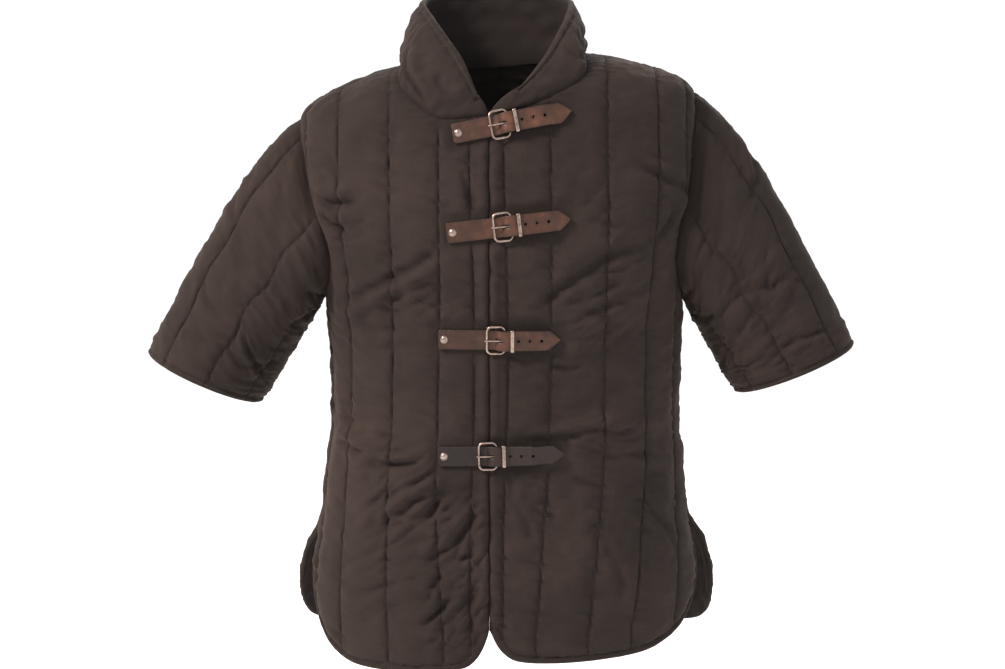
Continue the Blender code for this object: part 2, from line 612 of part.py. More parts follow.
def strap(number, closure, material):
    behind, past, curl = closure[3:]
    half = STRAP_WIDTH / 2
    near = FRAME_LENGTH + np.array([-0.0185, -0.0155, -0.0125, -0.0105, -0.0080, -0.0055, -0.0035, -0.0015,
                                    0.0005, 0.0025, 0.0050, 0.0080, 0.0110, 0.0150, 0.0210, 0.0270])
    steps = np.concatenate([np.linspace(-behind, -0.002, 6), near,
                            np.linspace(FRAME_LENGTH + 0.033, past - STRAP_TIP, 6)])
    corner = 0.003
    outline = [(-behind, -half + corner), (-behind + corner, -half)]
    outline += [(s, -half) for s in steps[1:]]
    outline += [(past - 0.006, -half * 0.52), (past, 0.0), (past - 0.006, half * 0.52)]
    outline += [(s, half) for s in steps[:0:-1]]
    outline += [(-behind + corner, half), (-behind, half - corner)]
    outline = np.array(outline)
    ring = np.radians(np.arange(8) * 45)
    slot = [(-0.0052, -0.0010), (-0.0044, -0.0018), (0.0044, -0.0018), (0.0052, -0.0010),
            (0.0052, 0.0010), (0.0044, 0.0018), (-0.0044, 0.0018), (-0.0052, 0.0010)]
    holes = [np.array(slot) + (0.0142, 0.0)]
    for k in range(3):
        middle = FRAME_LENGTH + 0.017 + HOLE_STEP * k
        if middle < past - 0.014:
            holes.append(np.stack([middle + HOLE_RADIUS * np.cos(ring), HOLE_RADIUS * np.sin(ring)], axis=1))
    extra = [(s, t) for s in steps[1:-1:1] for t in (-half * 0.45, half * 0.45)]

    def at(points, lift):
        along, across = points[:, 0], points[:, 1]
        twist = curl * np.clip((along - 0.040) / 0.03, 0, 1) * (across / half + 1)
        return place(closure, np.stack([along, across, strap_lift(closure, along) + twist + lift], axis=1))

    return slab(f"strap_{number}", [outline] + holes, extra, 0.1, lambda p: at(p, STRAP_THICKNESS),
                lambda p: at(p, 0.0), material)


def tube(name, closure, path, radius, sides, closed, material):
    # Round wire along a path of along, across and lift.
    path = np.asarray(path, float)
    if closed:
        along = np.roll(path, -1, axis=0) - np.roll(path, 1, axis=0)
    else:
        along = np.gradient(path, axis=0)
    along = unit(along)
    mean = path.mean(axis=0)
    plane = unit(np.linalg.svd(path - mean)[2][2])
    side_way = unit(np.cross(along, plane))
    angle = np.radians(np.arange(sides) * 360 / sides)
    rings = path[:, None] + radius * (np.cos(angle)[None, :, None] * side_way[:, None]
                                      + np.sin(angle)[None, :, None] * plane[None, None])
    points = place(closure, rings.reshape(-1, 3))
    count = len(path)
    faces = []
    for r in range(count if closed else count - 1):
        n = (r + 1) % count
        for c in range(sides):
            d = (c + 1) % sides
            faces.append((r * sides + c, r * sides + d, n * sides + d, n * sides + c))
    if not closed:
        faces.append(tuple(range(sides))[::-1])
        faces.append(tuple((count - 1) * sides + c for c in range(sides)))
    return add_object(name, points, faces, material)


def round_rectangle(length, width, corner, per_corner):
    # Middle line of a frame with its near bar at 0.
    points = []
    centres = ((length - corner, width / 2 - corner, 0), (corner, width / 2 - corner, 90),
               (corner, -width / 2 + corner, 180), (length - corner, -width / 2 + corner, 270))
    for cx, cy, start in centres:
        for k in range(per_corner + 1):
            a = math.radians(start + 90 * k / per_corner)
            points.append((cx + corner * math.cos(a), cy + corner * math.sin(a)))
    return np.array(points)


def buckle_frame(number, closure, material):
    loop = round_rectangle(FRAME_LENGTH, FRAME_WIDTH, FRAME_CORNER, 3)
    lift = LOOSE_BAR_LIFT + (HEEL_LIFT - LOOSE_BAR_LIFT) * loop[:, 0] / FRAME_LENGTH
    path = np.concatenate([loop, lift[:, None]], axis=1)
    return tube(f"buckle_frame_{number}", closure, path, WIRE, 8, True, material)


def prong(number, closure, material):
    reach = WIRE + GAP + PRONG_WIRE
    hook = [(FRAME_LENGTH + reach * math.cos(math.radians(a)), 0.0, HEEL_LIFT + reach * math.sin(math.radians(a)))
            for a in range(-150, 91, 30)]
    over = LOOSE_BAR_LIFT + WIRE + GAP + PRONG_WIRE
    shank = [(FRAME_LENGTH * f - 0.0030 * (1 - f), 0.0, (HEEL_LIFT + reach) * f + over * (1 - f))
             for f in (0.8, 0.55, 0.3, 0.1, 0.0)]
    return tube(f"buckle_prong_{number}", closure, hook + shank, PRONG_WIRE, 6, False, material)


def keeper(number, closure, material):
    half_width = STRAP_WIDTH / 2 + 0.0012
    at = FRAME_LENGTH + KEEPER_AT
    low, high = KEEPER_LIFT + 0.0005, KEEPER_LIFT + 0.0080
    corner = 0.0012
    loop = [(-half_width, low + corner), (-half_width + corner, low), (half_width - corner, low),
            (half_width, low + corner), (half_width, high - corner), (half_width - corner, high),
            (0.0, high + 0.0003), (-half_width + corner, high), (-half_width, high - corner)]
    loop = np.array(loop)
    middle = np.array([0.0, (low + high) / 2])
    away = unit(((loop - middle) / (half_width, (high - low) / 2)) ** 5) * 0.0005
    outer = [place(closure, np.stack([np.full(9, at + w), (loop + away)[:, 0], (loop + away)[:, 1]], axis=1))
             for w in (-KEEPER_BAND / 2, KEEPER_BAND / 2)]
    inner = [place(closure, np.stack([np.full(9, at + w), (loop - away)[:, 0], (loop - away)[:, 1]], axis=1))
             for w in (-KEEPER_BAND / 2, KEEPER_BAND / 2)]
    return shell(f"strap_keeper_{number}", np.array(outer), np.array(inner), True, material)


def chape(number, closure, material):
    # Leather folded round the heel bar, with a notch for the prong.
    bar = (FRAME_LENGTH, HEEL_LIFT)
    hole_radius = WIRE + GAP
    reach = hole_radius + CHAPE_PLY
    tab_top = GAP + 2 * CHAPE_PLY
    hole = [(bar[0] + hole_radius * math.cos(math.radians(a)), bar[1] + hole_radius * math.sin(math.radians(a)))
            for a in range(0, 360, 36)]
    loop = [(bar[0] + reach * math.cos(math.radians(a)), bar[1] + reach * math.sin(math.radians(a)))
            for a in range(40, 261, 22)]
    tab = [(FRAME_LENGTH + s, GAP) for s in (0.004, 0.012, 0.020, 0.028, 0.036, CHAPE_LENGTH)]
    tab_back = [(FRAME_LENGTH + s, tab_top) for s in (CHAPE_LENGTH, 0.036, 0.028, 0.020, 0.012, 0.0065)]
    profile = np.array(loop + tab + tab_back)
    drawing, faces = triangles([profile, np.array(hole)], [], 0.1)
    half, notch = CHAPE_WIDTH / 2, 0.0019
    levels = (-half, -notch, notch, half)
    count = len(drawing)
    near = drawing[:, 0][faces].mean(axis=1) < FRAME_LENGTH + 0.004
    points = np.concatenate([
        place(closure, np.stack([drawing[:, 0], np.full(count, t), drawing[:, 1]], axis=1)) for t in levels
    ])
    solid = []
    for layer in range(3):
        kept = faces if layer != 1 else faces[~near]
        solid.append({tuple(f) for f in kept.tolist()})
    found = []
    for layer in range(3):
        edges = [(f[i], f[(i + 1) % 3]) for f in solid[layer] for i in range(3)]
        have = set(edges)
        for a, b in edges:
            if (b, a) not in have:
                found.append((a + layer * count, b + layer * count, b + (layer + 1) * count, a + (layer + 1) * count))
    for level in range(4):
        below = solid[level - 1] if level > 0 else set()
        above = solid[level] if level < 3 else set()
        for f in above - below:
            found.append(tuple(i + level * count for i in f[::-1]))
        for f in below - above:
            found.append(tuple(i + level * count for i in f))
    return add_object(f"buckle_chape_{number}", points, found, material)


def rivet(name, closure, along, lift, material):
    rings = ((1.0, 0.0), (1.0, 0.25), (0.86, 0.62), (0.5, 0.92))
    segments = 14
    points = []
    for share, rise in rings:
        for k in range(segments):
            a = 2 * math.pi * k / segments
            points.append((along + RIVET_RADIUS * share * math.cos(a), RIVET_RADIUS * share * math.sin(a),
                           lift + RIVET_RISE * rise))
    points.append((along, 0.0, lift + RIVET_RISE))
    faces = [tuple(range(segments))[::-1]]
    for r in range(len(rings) - 1):
        for k in range(segments):
            n = (k + 1) % segments
            faces.append((r * segments + k, r * segments + n, (r + 1) * segments + n, (r + 1) * segments + k))
    top = (len(rings) - 1) * segments
    faces += [(top + k, top + (k + 1) % segments, top + segments) for k in range(segments)]
    return add_object(name, place(closure, points), faces, material)


def make_material(name, colour, roughness, metallic):
    material = bpy.data.materials.new(name)
    material.use_nodes = True
    shader = material.node_tree.nodes["Principled BSDF"]
    shader.inputs["Base Color"].default_value = colour
    shader.inputs["Roughness"].default_value = roughness
    shader.inputs["Metallic"].default_value = metallic
    material.diffuse_color = colour
    return material


def main():
    clear_scene()
    made = {name: make_material(name, *values) for name, values in MATERIALS.items()}
    cloth, leather, metal = made["quilted_cotton"], made["brown_leather"], made["nickel_plated_steel"]
    panel("front_right", front_outline(-1), QUILT_RIGHT, (-95, 0), False, cloth)
    panel("front_left", front_outline(1), QUILT_LEFT, (-5, 95), False, cloth)
    panel("back", back_outline(), QUILT_BACK, (88, 272), True, cloth)
    collar(cloth)
    for row in SLEEVES:
        sleeve(*row, cloth)
    for number, closure in enumerate(CLOSURES, 1):
        strap(number, closure, leather)
        chape(number, closure, leather)
        buckle_frame(number, closure, metal)
        prong(number, closure, metal)
        keeper(number, closure, metal)
        rivet(f"strap_rivet_{number}", closure, -closure[3] + 0.0075, STRAP_THICKNESS + 2 * GAP, metal)
        rivet(f"chape_rivet_{number}", closure, FRAME_LENGTH + 0.037, 2 * CHAPE_PLY + 2 * GAP, metal)


main()
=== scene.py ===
import math
import bmesh
import bpy
import numpy as np
from mathutils.geometry import delaunay_2d_cdt
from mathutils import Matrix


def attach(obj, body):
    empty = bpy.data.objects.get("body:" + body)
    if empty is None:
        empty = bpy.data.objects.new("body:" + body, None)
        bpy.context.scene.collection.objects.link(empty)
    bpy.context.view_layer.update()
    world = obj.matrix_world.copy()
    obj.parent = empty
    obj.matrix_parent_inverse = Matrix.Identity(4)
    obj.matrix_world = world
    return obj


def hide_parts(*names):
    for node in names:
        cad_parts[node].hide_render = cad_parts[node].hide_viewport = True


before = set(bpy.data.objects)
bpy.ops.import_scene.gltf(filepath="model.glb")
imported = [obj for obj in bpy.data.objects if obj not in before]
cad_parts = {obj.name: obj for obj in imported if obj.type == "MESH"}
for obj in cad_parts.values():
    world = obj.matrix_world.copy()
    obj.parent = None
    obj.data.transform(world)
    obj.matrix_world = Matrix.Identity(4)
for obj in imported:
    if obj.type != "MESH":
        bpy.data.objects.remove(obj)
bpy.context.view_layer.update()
print("frame loaded")

# Sizes are in metres, angles in degrees. Turn runs round the body: 0 front, 90 the wearer's left, 180 back.
body = {
    # height, half width, front depth, back depth, centre, tilt, half width of the back
    "sections": (
        (0.004, 0.102, 0.076, 0.068, -0.012, 0.066, 0.102),
        (-0.006, 0.129, 0.083, 0.074, -0.012, 0.068, 0.129),
        (-0.018, 0.170, 0.090, 0.082, -0.012, 0.070, 0.170),
        (-0.032, 0.209, 0.096, 0.089, -0.010, 0.070, 0.209),
        (-0.046, 0.236, 0.101, 0.095, -0.008, 0.069, 0.236),
        (-0.059, 0.2485, 0.105, 0.099, -0.007, 0.066, 0.2485),
        (-0.085, 0.2530, 0.111, 0.105, -0.006, 0.056, 0.2530),
        (-0.130, 0.2525, 0.121, 0.111, -0.005, 0.038, 0.2525),
        (-0.180, 0.2490, 0.131, 0.114, -0.003, 0.020, 0.2490),
        (-0.240, 0.2390, 0.136, 0.113, 0.000, 0.004, 0.2390),
        (-0.300, 0.2290, 0.134, 0.109, 0.002, -0.010, 0.2290),
        (-0.380, 0.2235, 0.127, 0.103, 0.004, -0.004, 0.2235),
        (-0.455, 0.2225, 0.122, 0.100, 0.004, 0.004, 0.2225),
        (-0.520, 0.2300, 0.124, 0.106, 0.003, 0.012, 0.2300),
        (-0.590, 0.2375, 0.129, 0.114, 0.002, 0.026, 0.2380),
        (-0.640, 0.2460, 0.131, 0.118, 0.003, 0.028, 0.2640),
        (-0.700, 0.2520, 0.132, 0.120, 0.004, 0.032, 0.2745),
        (-0.780, 0.2520, 0.131, 0.120, 0.004, 0.034, 0.2740),
    ),
    "squareness": 2.4,
    "closingX": -0.0165,      # where the fronts meet
    "closingGap": 0.00012,     # the turned edges of the fronts touch
    "seamGap": 0.00035,
    "wall": 0.0062,           # cloth, padding and lining
    "drawingRadius": 0.2,
}
cloth = {
    "quiltRise": 0.0042,      # how far the padding stands up between two lines
    "stitchBite": 0.0011,     # how far a line of stitches pulls the cloth in
    "biteWidth": 0.0017,
    "pucker": 0.00075,        # small wrinkles that the thread draws up beside a line
    "puckerReach": 0.012,
    "slack": 0.0007,          # broad unevenness of the padding
    "seamDepth": 0.0014,
    "seamReach": 0.0030,
    "hemLine": 0.0095,        # stitches that hold the turned hem
    "rowStep": 0.0036,
    "acrossChannel": (0, 0.018, 0.045, 0.085, 0.14, 0.21, 0.30, 0.40, 0.50,
                      0.60, 0.70, 0.79, 0.86, 0.915, 0.955, 0.982),
    "edgeRings": (0.0005, 0.0013, 0.0024, 0.0038, 0.0056, 0.0074, 0.0088, 0.0095, 0.0102, 0.0116),
    "edgeStep": 0.0026,
    "seamRings": (0, 0.001, 0.0022, 0.0036, 0.0052),
    "uprightFrom": -0.14,     # from here up the quilting lines run upright as seen from the front
    "ventFlare": (0.006, 16, -0.665, 0.042),  # rise, spread round in degrees, height, spread up and down
    "threadLift": 0.00015,    # how far the stitches lie over the cloth
}


def smoothCurve(xs, ys, at):
    # cubic curve through the rows of a table that never overshoots them
    xs, ys = np.asarray(xs, float), np.asarray(ys, float)
    step = np.diff(xs)
    slope = np.diff(ys) / step
    grade = np.concatenate([[slope[0]], np.zeros(len(xs) - 2), [slope[-1]]])
    same = slope[:-1] * slope[1:] > 0
    pair = np.where(same, slope[:-1] + slope[1:], 1.0)
    grade[1:-1] = np.where(same, 2 * slope[:-1] * slope[1:] / pair, 0.0)
    at = np.clip(np.asarray(at, float), xs[0], xs[-1])
    i = np.clip(np.searchsorted(xs, at) - 1, 0, len(xs) - 2)
    t = (at - xs[i]) / step[i]
    low = (1 + 2 * t) * (1 - t) ** 2 * ys[i] + t * t * (3 - 2 * t) * ys[i + 1]
    return low + step[i] * (t * (1 - t) ** 2 * grade[i] - t * t * (1 - t) * grade[i + 1])


def smoothRows(keys, table, at):
    # every column of a table read along smooth curves
    return np.stack([smoothCurve(keys, column, at) for column in table.T], axis=-1)


def splineAt(keys, share):
    # points at a share of the length of the round curve through the rows of a table
    keys = np.asarray(keys, float)
    steps = np.linalg.norm(np.diff(keys / keys.std(0), axis=0), axis=1)
    along = np.concatenate([[0], np.cumsum(steps)])
    return smoothRows(along, keys, np.asarray(share) * along[-1])


def splineRows(keys, count):
    return splineAt(keys, np.linspace(0, 1, count))


def bodyRow(z):
    table = np.array(body["sections"][::-1])
    names = ("height", "width", "front", "back", "centre", "tilt", "backWidth")
    return {name: smoothCurve(table[:, 0], table[:, k], z) for k, name in enumerate(names)}


def skin(turn, z, behind):
    # point of the garment's plain outside
    row = bodyRow(z)
    angle = np.radians(turn)
    s, c = np.sin(angle), np.cos(angle)
    width = np.where(behind, row["backWidth"], row["width"])
    depth = np.where(behind, row["back"], row["front"])
    power = body["squareness"]
    reach = (np.abs(s) ** power + np.abs(c) ** power) ** (-1 / power)
    across = width * reach * s
    return np.stack([row["centre"] + across, -depth * reach * c, z + row["tilt"] * across], axis=-1)


def unit(v):
    return v / np.maximum(np.linalg.norm(v, axis=-1, keepdims=True), 1e-12)


def outward(turn, z, behind):
    roundIt = skin(turn + 0.05, z, behind) - skin(turn - 0.05, z, behind)
    up = skin(turn, z + 1e-4, behind) - skin(turn, z - 1e-4, behind)
    return unit(np.cross(roundIt, up))


def turnAt(x, z):
    row = bodyRow(z)
    part = np.clip((x - row["centre"]) / row["width"], -0.99, 0.99)
    depth = (1 - np.abs(part) ** body["squareness"]) ** (1 / body["squareness"])
    return np.degrees(np.arctan2(part, depth))


def onFront(x, level):
    # turn and row of a place on the fronts given by its x and height
    x, level = np.asarray(x, float), np.asarray(level, float)
    row = bodyRow(level)
    z = level - row["tilt"] * (x - row["centre"])
    return turnAt(x, z), z


drawingRows = np.linspace(-0.78, 0.004, 400)
drawingWidth = bodyRow(drawingRows)["width"]
drawingLength = np.concatenate([[0], np.cumsum(np.hypot(np.diff(drawingRows), 0.75 * np.diff(drawingWidth)))])


def toDrawing(turn, z):
    # the panels drawn flat: turn as a length, height as the length over the shoulder
    return np.stack([np.radians(turn) * body["drawingRadius"], np.interp(z, drawingRows, drawingLength)], axis=-1)


def fromDrawing(points):
    return np.degrees(points[:, 0] / body["drawingRadius"]), np.interp(points[:, 1], drawingLength, drawingRows)


def pathDistance(points, path, closed=False):
    ends = np.roll(path, -1, axis=0) if closed else path[1:]
    best = np.full(len(points), 1.0)
    for start, end in zip(path, ends):
        run = end - start
        t = np.clip((points - start) @ run / max(run @ run, 1e-15), 0, 1)
        best = np.minimum(best, np.linalg.norm(points - start - t[:, None] * run, axis=1))
    return best


def insideOf(points, outline):
    hits = np.zeros(len(points), bool)
    for (x0, y0), (x1, y1) in zip(outline, np.roll(outline, -1, axis=0)):
        if y0 != y1:
            crosses = (y0 > points[:, 1]) != (y1 > points[:, 1])
            hits ^= crosses & (points[:, 0] < (x1 - x0) * (points[:, 1] - y0) / (y1 - y0) + x0)
    return hits


def wrinkles(points, seed, lengthU, lengthV, count=26):
    # soft random unevenness with a mean wave length each way, about one high
    chance = np.random.RandomState(seed)
    total = np.zeros(len(points))
    for _ in range(count):
        turnBy = chance.uniform(0, 2 * math.pi)
        stretch = chance.uniform(0.6, 1.7)
        wave = np.array([math.cos(turnBy) / lengthU, math.sin(turnBy) / lengthV]) * stretch * 2 * math.pi
        total += np.sin(points @ wave + chance.uniform(0, 2 * math.pi)) / stretch ** 0.5
    return total / math.sqrt(count / 2)


def softStep(x):
    return x * x * (3 - 2 * x)


def rising(away, reach, power=1):
    # 0 at an edge, 1 from the given reach on
    return np.clip(away / reach, 0, 1) ** power


def creaseRelief(here, creases):
    # narrow troughs with a soft ridge each side, one for each row of a crease table
    total = np.zeros(len(here))
    for path, depth, width, lip in creases:
        lengths = np.linalg.norm(np.diff(path, axis=0), axis=1)
        near = pathDistance(here, path) < 8 * width + 0.02
        spots, gone = here[near], 0.0
        best, signed, along = np.ones(len(spots)), np.zeros(len(spots)), np.zeros(len(spots))
        for start, end, length in zip(path, path[1:], lengths):
            run = (end - start) / length
            rel = spots - start
            t = np.clip(rel @ run, 0, length)
            off = np.linalg.norm(rel - t[:, None] * run, axis=1)
            side = np.sign(rel[:, 1] * run[0] - rel[:, 0] * run[1])
            closer = off < best
            best, signed = np.where(closer, off, best), np.where(closer, side * off, signed)
            along = np.where(closer, gone + t, along)
            gone += length
        share = along / lengths.sum()
        taper = softStep(rising(share, 0.22) * rising(1 - share, 0.30))
        wide = width * (0.75 + 0.5 * share)
        ridge = np.exp(-((signed - 2.3 * wide) / (1.5 * wide)) ** 2)
        ridge += 0.55 * np.exp(-((signed + 2.5 * wide) / (1.8 * wide)) ** 2)
        total[near] += depth * taper * (lip * ridge - np.exp(-(signed / wide) ** 2))
    return total


def crumpled(here, patches, seed):
    # many small folds with sharp valleys between soft tops, one patch for each row of a patch table
    total = np.zeros(len(here))
    for k, (centre, halfAlong, halfAcross, way, apart, height) in enumerate(patches):
        c, s = math.cos(math.radians(way)), math.sin(math.radians(way))
        rel = here - np.asarray(centre)
        turned = np.stack([rel[:, 0] * c + rel[:, 1] * s, -rel[:, 0] * s + rel[:, 1] * c], axis=1)
        mask = np.exp(-((turned[:, 0] / halfAlong) ** 2 + (turned[:, 1] / halfAcross) ** 2) ** 1.3)
        near = mask > 0.01
        folds = wrinkles(turned[near], seed + k, apart * 3.6, apart * 1.5, 18)
        total[near] += height * mask[near] * (np.clip(np.sqrt(folds ** 2 + 0.003), 0, 1.3) ** 0.75 - 0.70)
    return total


def triangulate(loops, extra, size=1.0):
    points = [tuple(p) for loop in loops for p in loop] + [tuple(p) for p in extra]
    edges, start = [], 0
    for loop in loops:
        edges += [(start + i, start + (i + 1) % len(loop)) for i in range(len(loop))]
        start += len(loop)
    found = delaunay_2d_cdt([(p[0] / size, p[1] / size) for p in points], edges, [], 0, 1e-7)
    places = np.array([tuple(v) for v in found[0]]) * size
    faces = np.array([tuple(f) for f in found[2]])
    middle = places[faces].mean(axis=1)
    keep = insideOf(middle, np.asarray(loops[0]))
    for hole in loops[1:]:
        keep &= ~insideOf(middle, np.asarray(hole))
    return places, faces[keep]


def addObject(name, points, faces, materials, uvs=None, values=None, second=None):
    # materials is one or two; second says for each face whether it takes the second
    mesh = bpy.data.meshes.new(name)
    mesh.from_pydata([tuple(p) for p in points], [], [tuple(int(i) for i in f) for f in faces])
    for material in materials:
        mesh.materials.append(material)
    if second is not None:
        mesh.polygons.foreach_set("material_index", np.asarray(second, np.int32))
    for label, amounts in (values or {}).items():
        mesh.attributes.new(label, "FLOAT", "POINT").data.foreach_set("value", np.asarray(amounts, np.float32))
    if uvs is not None:  # one place for each corner of each face, in metres
        layer = mesh.uv_layers.new(name="clothMap")
        layer.data.foreach_set("uv", np.asarray(uvs, np.float32).ravel())
    work = bmesh.new()
    work.from_mesh(mesh)
    bmesh.ops.delete(work, geom=[v for v in work.verts if not v.link_faces], context="VERTS")
    bmesh.ops.recalc_face_normals(work, faces=work.faces)
    if work.calc_volume(signed=True) < 0:
        bmesh.ops.reverse_faces(work, faces=work.faces)
    work.to_mesh(mesh)
    work.free()
    mesh.polygons.foreach_set("use_smooth", [True] * len(mesh.polygons))
    obj = bpy.data.objects.new(name, mesh)
    bpy.context.scene.collection.objects.link(obj)
    return obj


def slabObject(name, loops, extra, size, surfaces, materials):
    # closed piece between two images of one drawing; surfaces gives both at once
    drawing, faces = triangulate(loops, extra, size)
    count = len(drawing)
    seen = {tuple(e) for k in range(3) for e in np.roll(faces, -k, axis=1)[:, :2].tolist()}
    sides = [(b, a, a + count, b + count) for a, b in seen if (b, a) not in seen]
    whole = faces.tolist() + (faces[:, ::-1] + count).tolist() + sides
    upper, lower, values = surfaces(drawing)
    uvs = np.tile(drawing, (2, 1))[np.concatenate([np.array(f) for f in whole])]
    second = [0] * len(faces) + [len(materials) - 1] * len(faces) + [0] * len(sides)
    values = {label: np.tile(amounts, 2) for label, amounts in values.items()}
    return addObject(name, np.concatenate([upper, lower]), whole, materials, uvs, values, second)


def shellObject(name, outer, inner, closed, materials, across, along, values):
    # closed piece between two grids; rows run along it, columns round it, and each corner gets its place on the cloth
    rows, columns = outer.shape[:2]
    last = columns if closed else columns - 1
    parts = []

    def addFaces(r, c, skins, turned=False):
        # the rows, columns and skins of the four corners of a set of faces
        size = max(np.size(item) for item in r + c)
        part = np.array([[np.broadcast_to(item, size) for item in four] for four in (r, c, skins)])
        parts.append(part[:, ::-1] if turned else part)

    r, c = (item.ravel() for item in np.meshgrid(np.arange(rows - 1), np.arange(last), indexing="ij"))
    addFaces((r, r, r + 1, r + 1), (c, c + 1, c + 1, c), (0, 0, 0, 0))
    addFaces((r, r + 1, r + 1, r), (c, c, c + 1, c + 1), (1, 1, 1, 1))
    r, c = np.arange(rows - 1), np.arange(last)
    for k in (0, rows - 1):
        addFaces((k,) * 4, (c, c, c + 1, c + 1), (0, 1, 1, 0), k > 0)
    for k in () if closed else (0, columns - 1):
        addFaces((r, r, r + 1, r + 1), (k,) * 4, (0, 1, 1, 0), k == 0)
    rowOf, colOf, skinOf = np.concatenate(parts, axis=2).transpose(0, 2, 1)
    faces = rowOf * columns + colOf % columns + skinOf * rows * columns
    uvs = np.stack([across[colOf], along[rowOf]], axis=-1)
    points = np.concatenate([outer.reshape(-1, 3), inner.reshape(-1, 3)])
    second = skinOf.all(axis=1) * (len(materials) - 1)
    values = {label: np.tile(amounts.ravel(), 2) for label, amounts in values.items()}
    return addObject(name, points, faces.tolist(), materials, uvs.reshape(-1, 2), values, second)


def creaseTable(perU, perV, rows):
    # creases from whole numbers: depth and half width in 0.1 mm, share of the ridge beside it in hundredths, then the
    # two coordinates of each place along it, so many to a metre, a degree or a whole
    return [(np.array(row[3:]).reshape(-1, 2) / (perU, perV), row[0] / 10000, row[1] / 10000, row[2] / 100)
            for row in rows]


def patchTable(perU, perV, rows):
    # patches of small folds: the middle's two coordinates, half size along the folds and across them in mm, the way
    # that the folds run in degrees, distance between them in mm, height in 0.1 mm
    return [((row[0] / perU, row[1] / perV), row[2] / 1000, row[3] / 1000, row[4], row[5] / 1000, row[6] / 10000)
            for row in rows]


fronts = {
    # turn and height from the front to the back of one side
    "neckRight": ((3, -0.0690), (8, -0.0700), (12, -0.0710), (15.5, -0.0695), (19, -0.0610), (23, -0.0490),
                  (29, -0.0350), (45, -0.0130), (62, -0.0040), (90, 0.0)),
    "neckLeft": ((3, -0.0670), (8, -0.0615), (13, -0.0545), (18, -0.0470), (24, -0.0385), (32, -0.0280),
                 (45, -0.0125), (62, -0.0040), (90, 0.0)),
    "armhole": ((90, -0.059), (80, -0.071), (72, -0.103), (69, -0.140), (66, -0.178), (61.5, -0.212),
                (61, -0.240), (65, -0.268), (75, -0.291), (90, -0.302)),
    "hem": ((0.5, -0.7190), (1.8, -0.7330), (3.9, -0.7470), (7.5, -0.7580), (14, -0.7620), (22, -0.7630), (32.5, -0.7620),
            (43.5, -0.7580), (52.5, -0.7475), (59.5, -0.7350), (66, -0.7180), (73, -0.6930), (78, -0.6710),
            (83, -0.6440), (87.5, -0.6150), (90, -0.5900)),
    "hemSlope": 0.0035,
    "lineHeights": (-0.720, -0.455, -0.150),  # quilting lines: turn at hem, waist and chest
    "linesRight": ((-10.0, -10.0, -8.0), (-17.5, -21.5, -16.5), (-34.0, -37.0, -30.5), (-52.0, -56.0, -48.0),
                   (-70.0, -77.0, -68.0)),
    "linesLeft": ((-1.0, 0.5, 1.5), (8.5, 14.0, 14.5), (23.5, 31.5, 30.5), (36.5, 47.5, 47.5),
                  (54.0, 67.0, 63.0)),
}
back = {
    "neck": ((90, 0.0), (120, -0.0015), (150, -0.0060), (180, -0.0085)),
    "armhole": ((90, -0.059), (100, -0.071), (108, -0.103), (111, -0.140), (112, -0.180), (112, -0.220),
                (109, -0.255), (102, -0.284), (90, -0.302)),
    "hem": ((90, -0.5900), (91.0, -0.6200), (91.5, -0.6500), (92, -0.6780), (93.5, -0.7030), (97.5, -0.7250),
            (104, -0.7420), (113, -0.7560), (125, -0.7640), (145, -0.7670), (180, -0.7680)),
    "rightFlapRise": 0.036,
    "lines": ((102, 102, 104), (116, 116, 118), (130, 131, 132), (146, 147, 147), (163, 163, 163),
              (180, 180, 180), (197, 197, 197), (214, 213, 213), (230, 229, 228), (244, 244, 242),
              (258, 258, 256)),
}
# Folds of the whole wall: turn and height of both ends, width across, rise outward; lengths in mm.
folds = np.array((
    (-20, -262, -58, -318, 30, 6), (-24, -238, -60, -285, 22, -4), (-34, -486, -62, -478, 30, 6),
    (-18, -512, -42, -560, 24, 6), (-11, -556, -24, -606, 22, 5), (18, -338, 46, -272, 30, 6),
    (22, -370, 52, -326, 24, -4), (16, -470, 52, -452, 30, 6), (50, -150, 66, -200, 24, 6),
    (-50, -160, -64, -205, 24, 6), (112, -330, 150, -290, 34, 6), (206, -300, 246, -345, 34, 6),
    (108, -455, 164, -440, 40, 7), (192, -470, 250, -452, 40, 6), (128, -560, 172, -600, 34, 5),
)) / (1, 1000, 1, 1000, 1000, 1000)
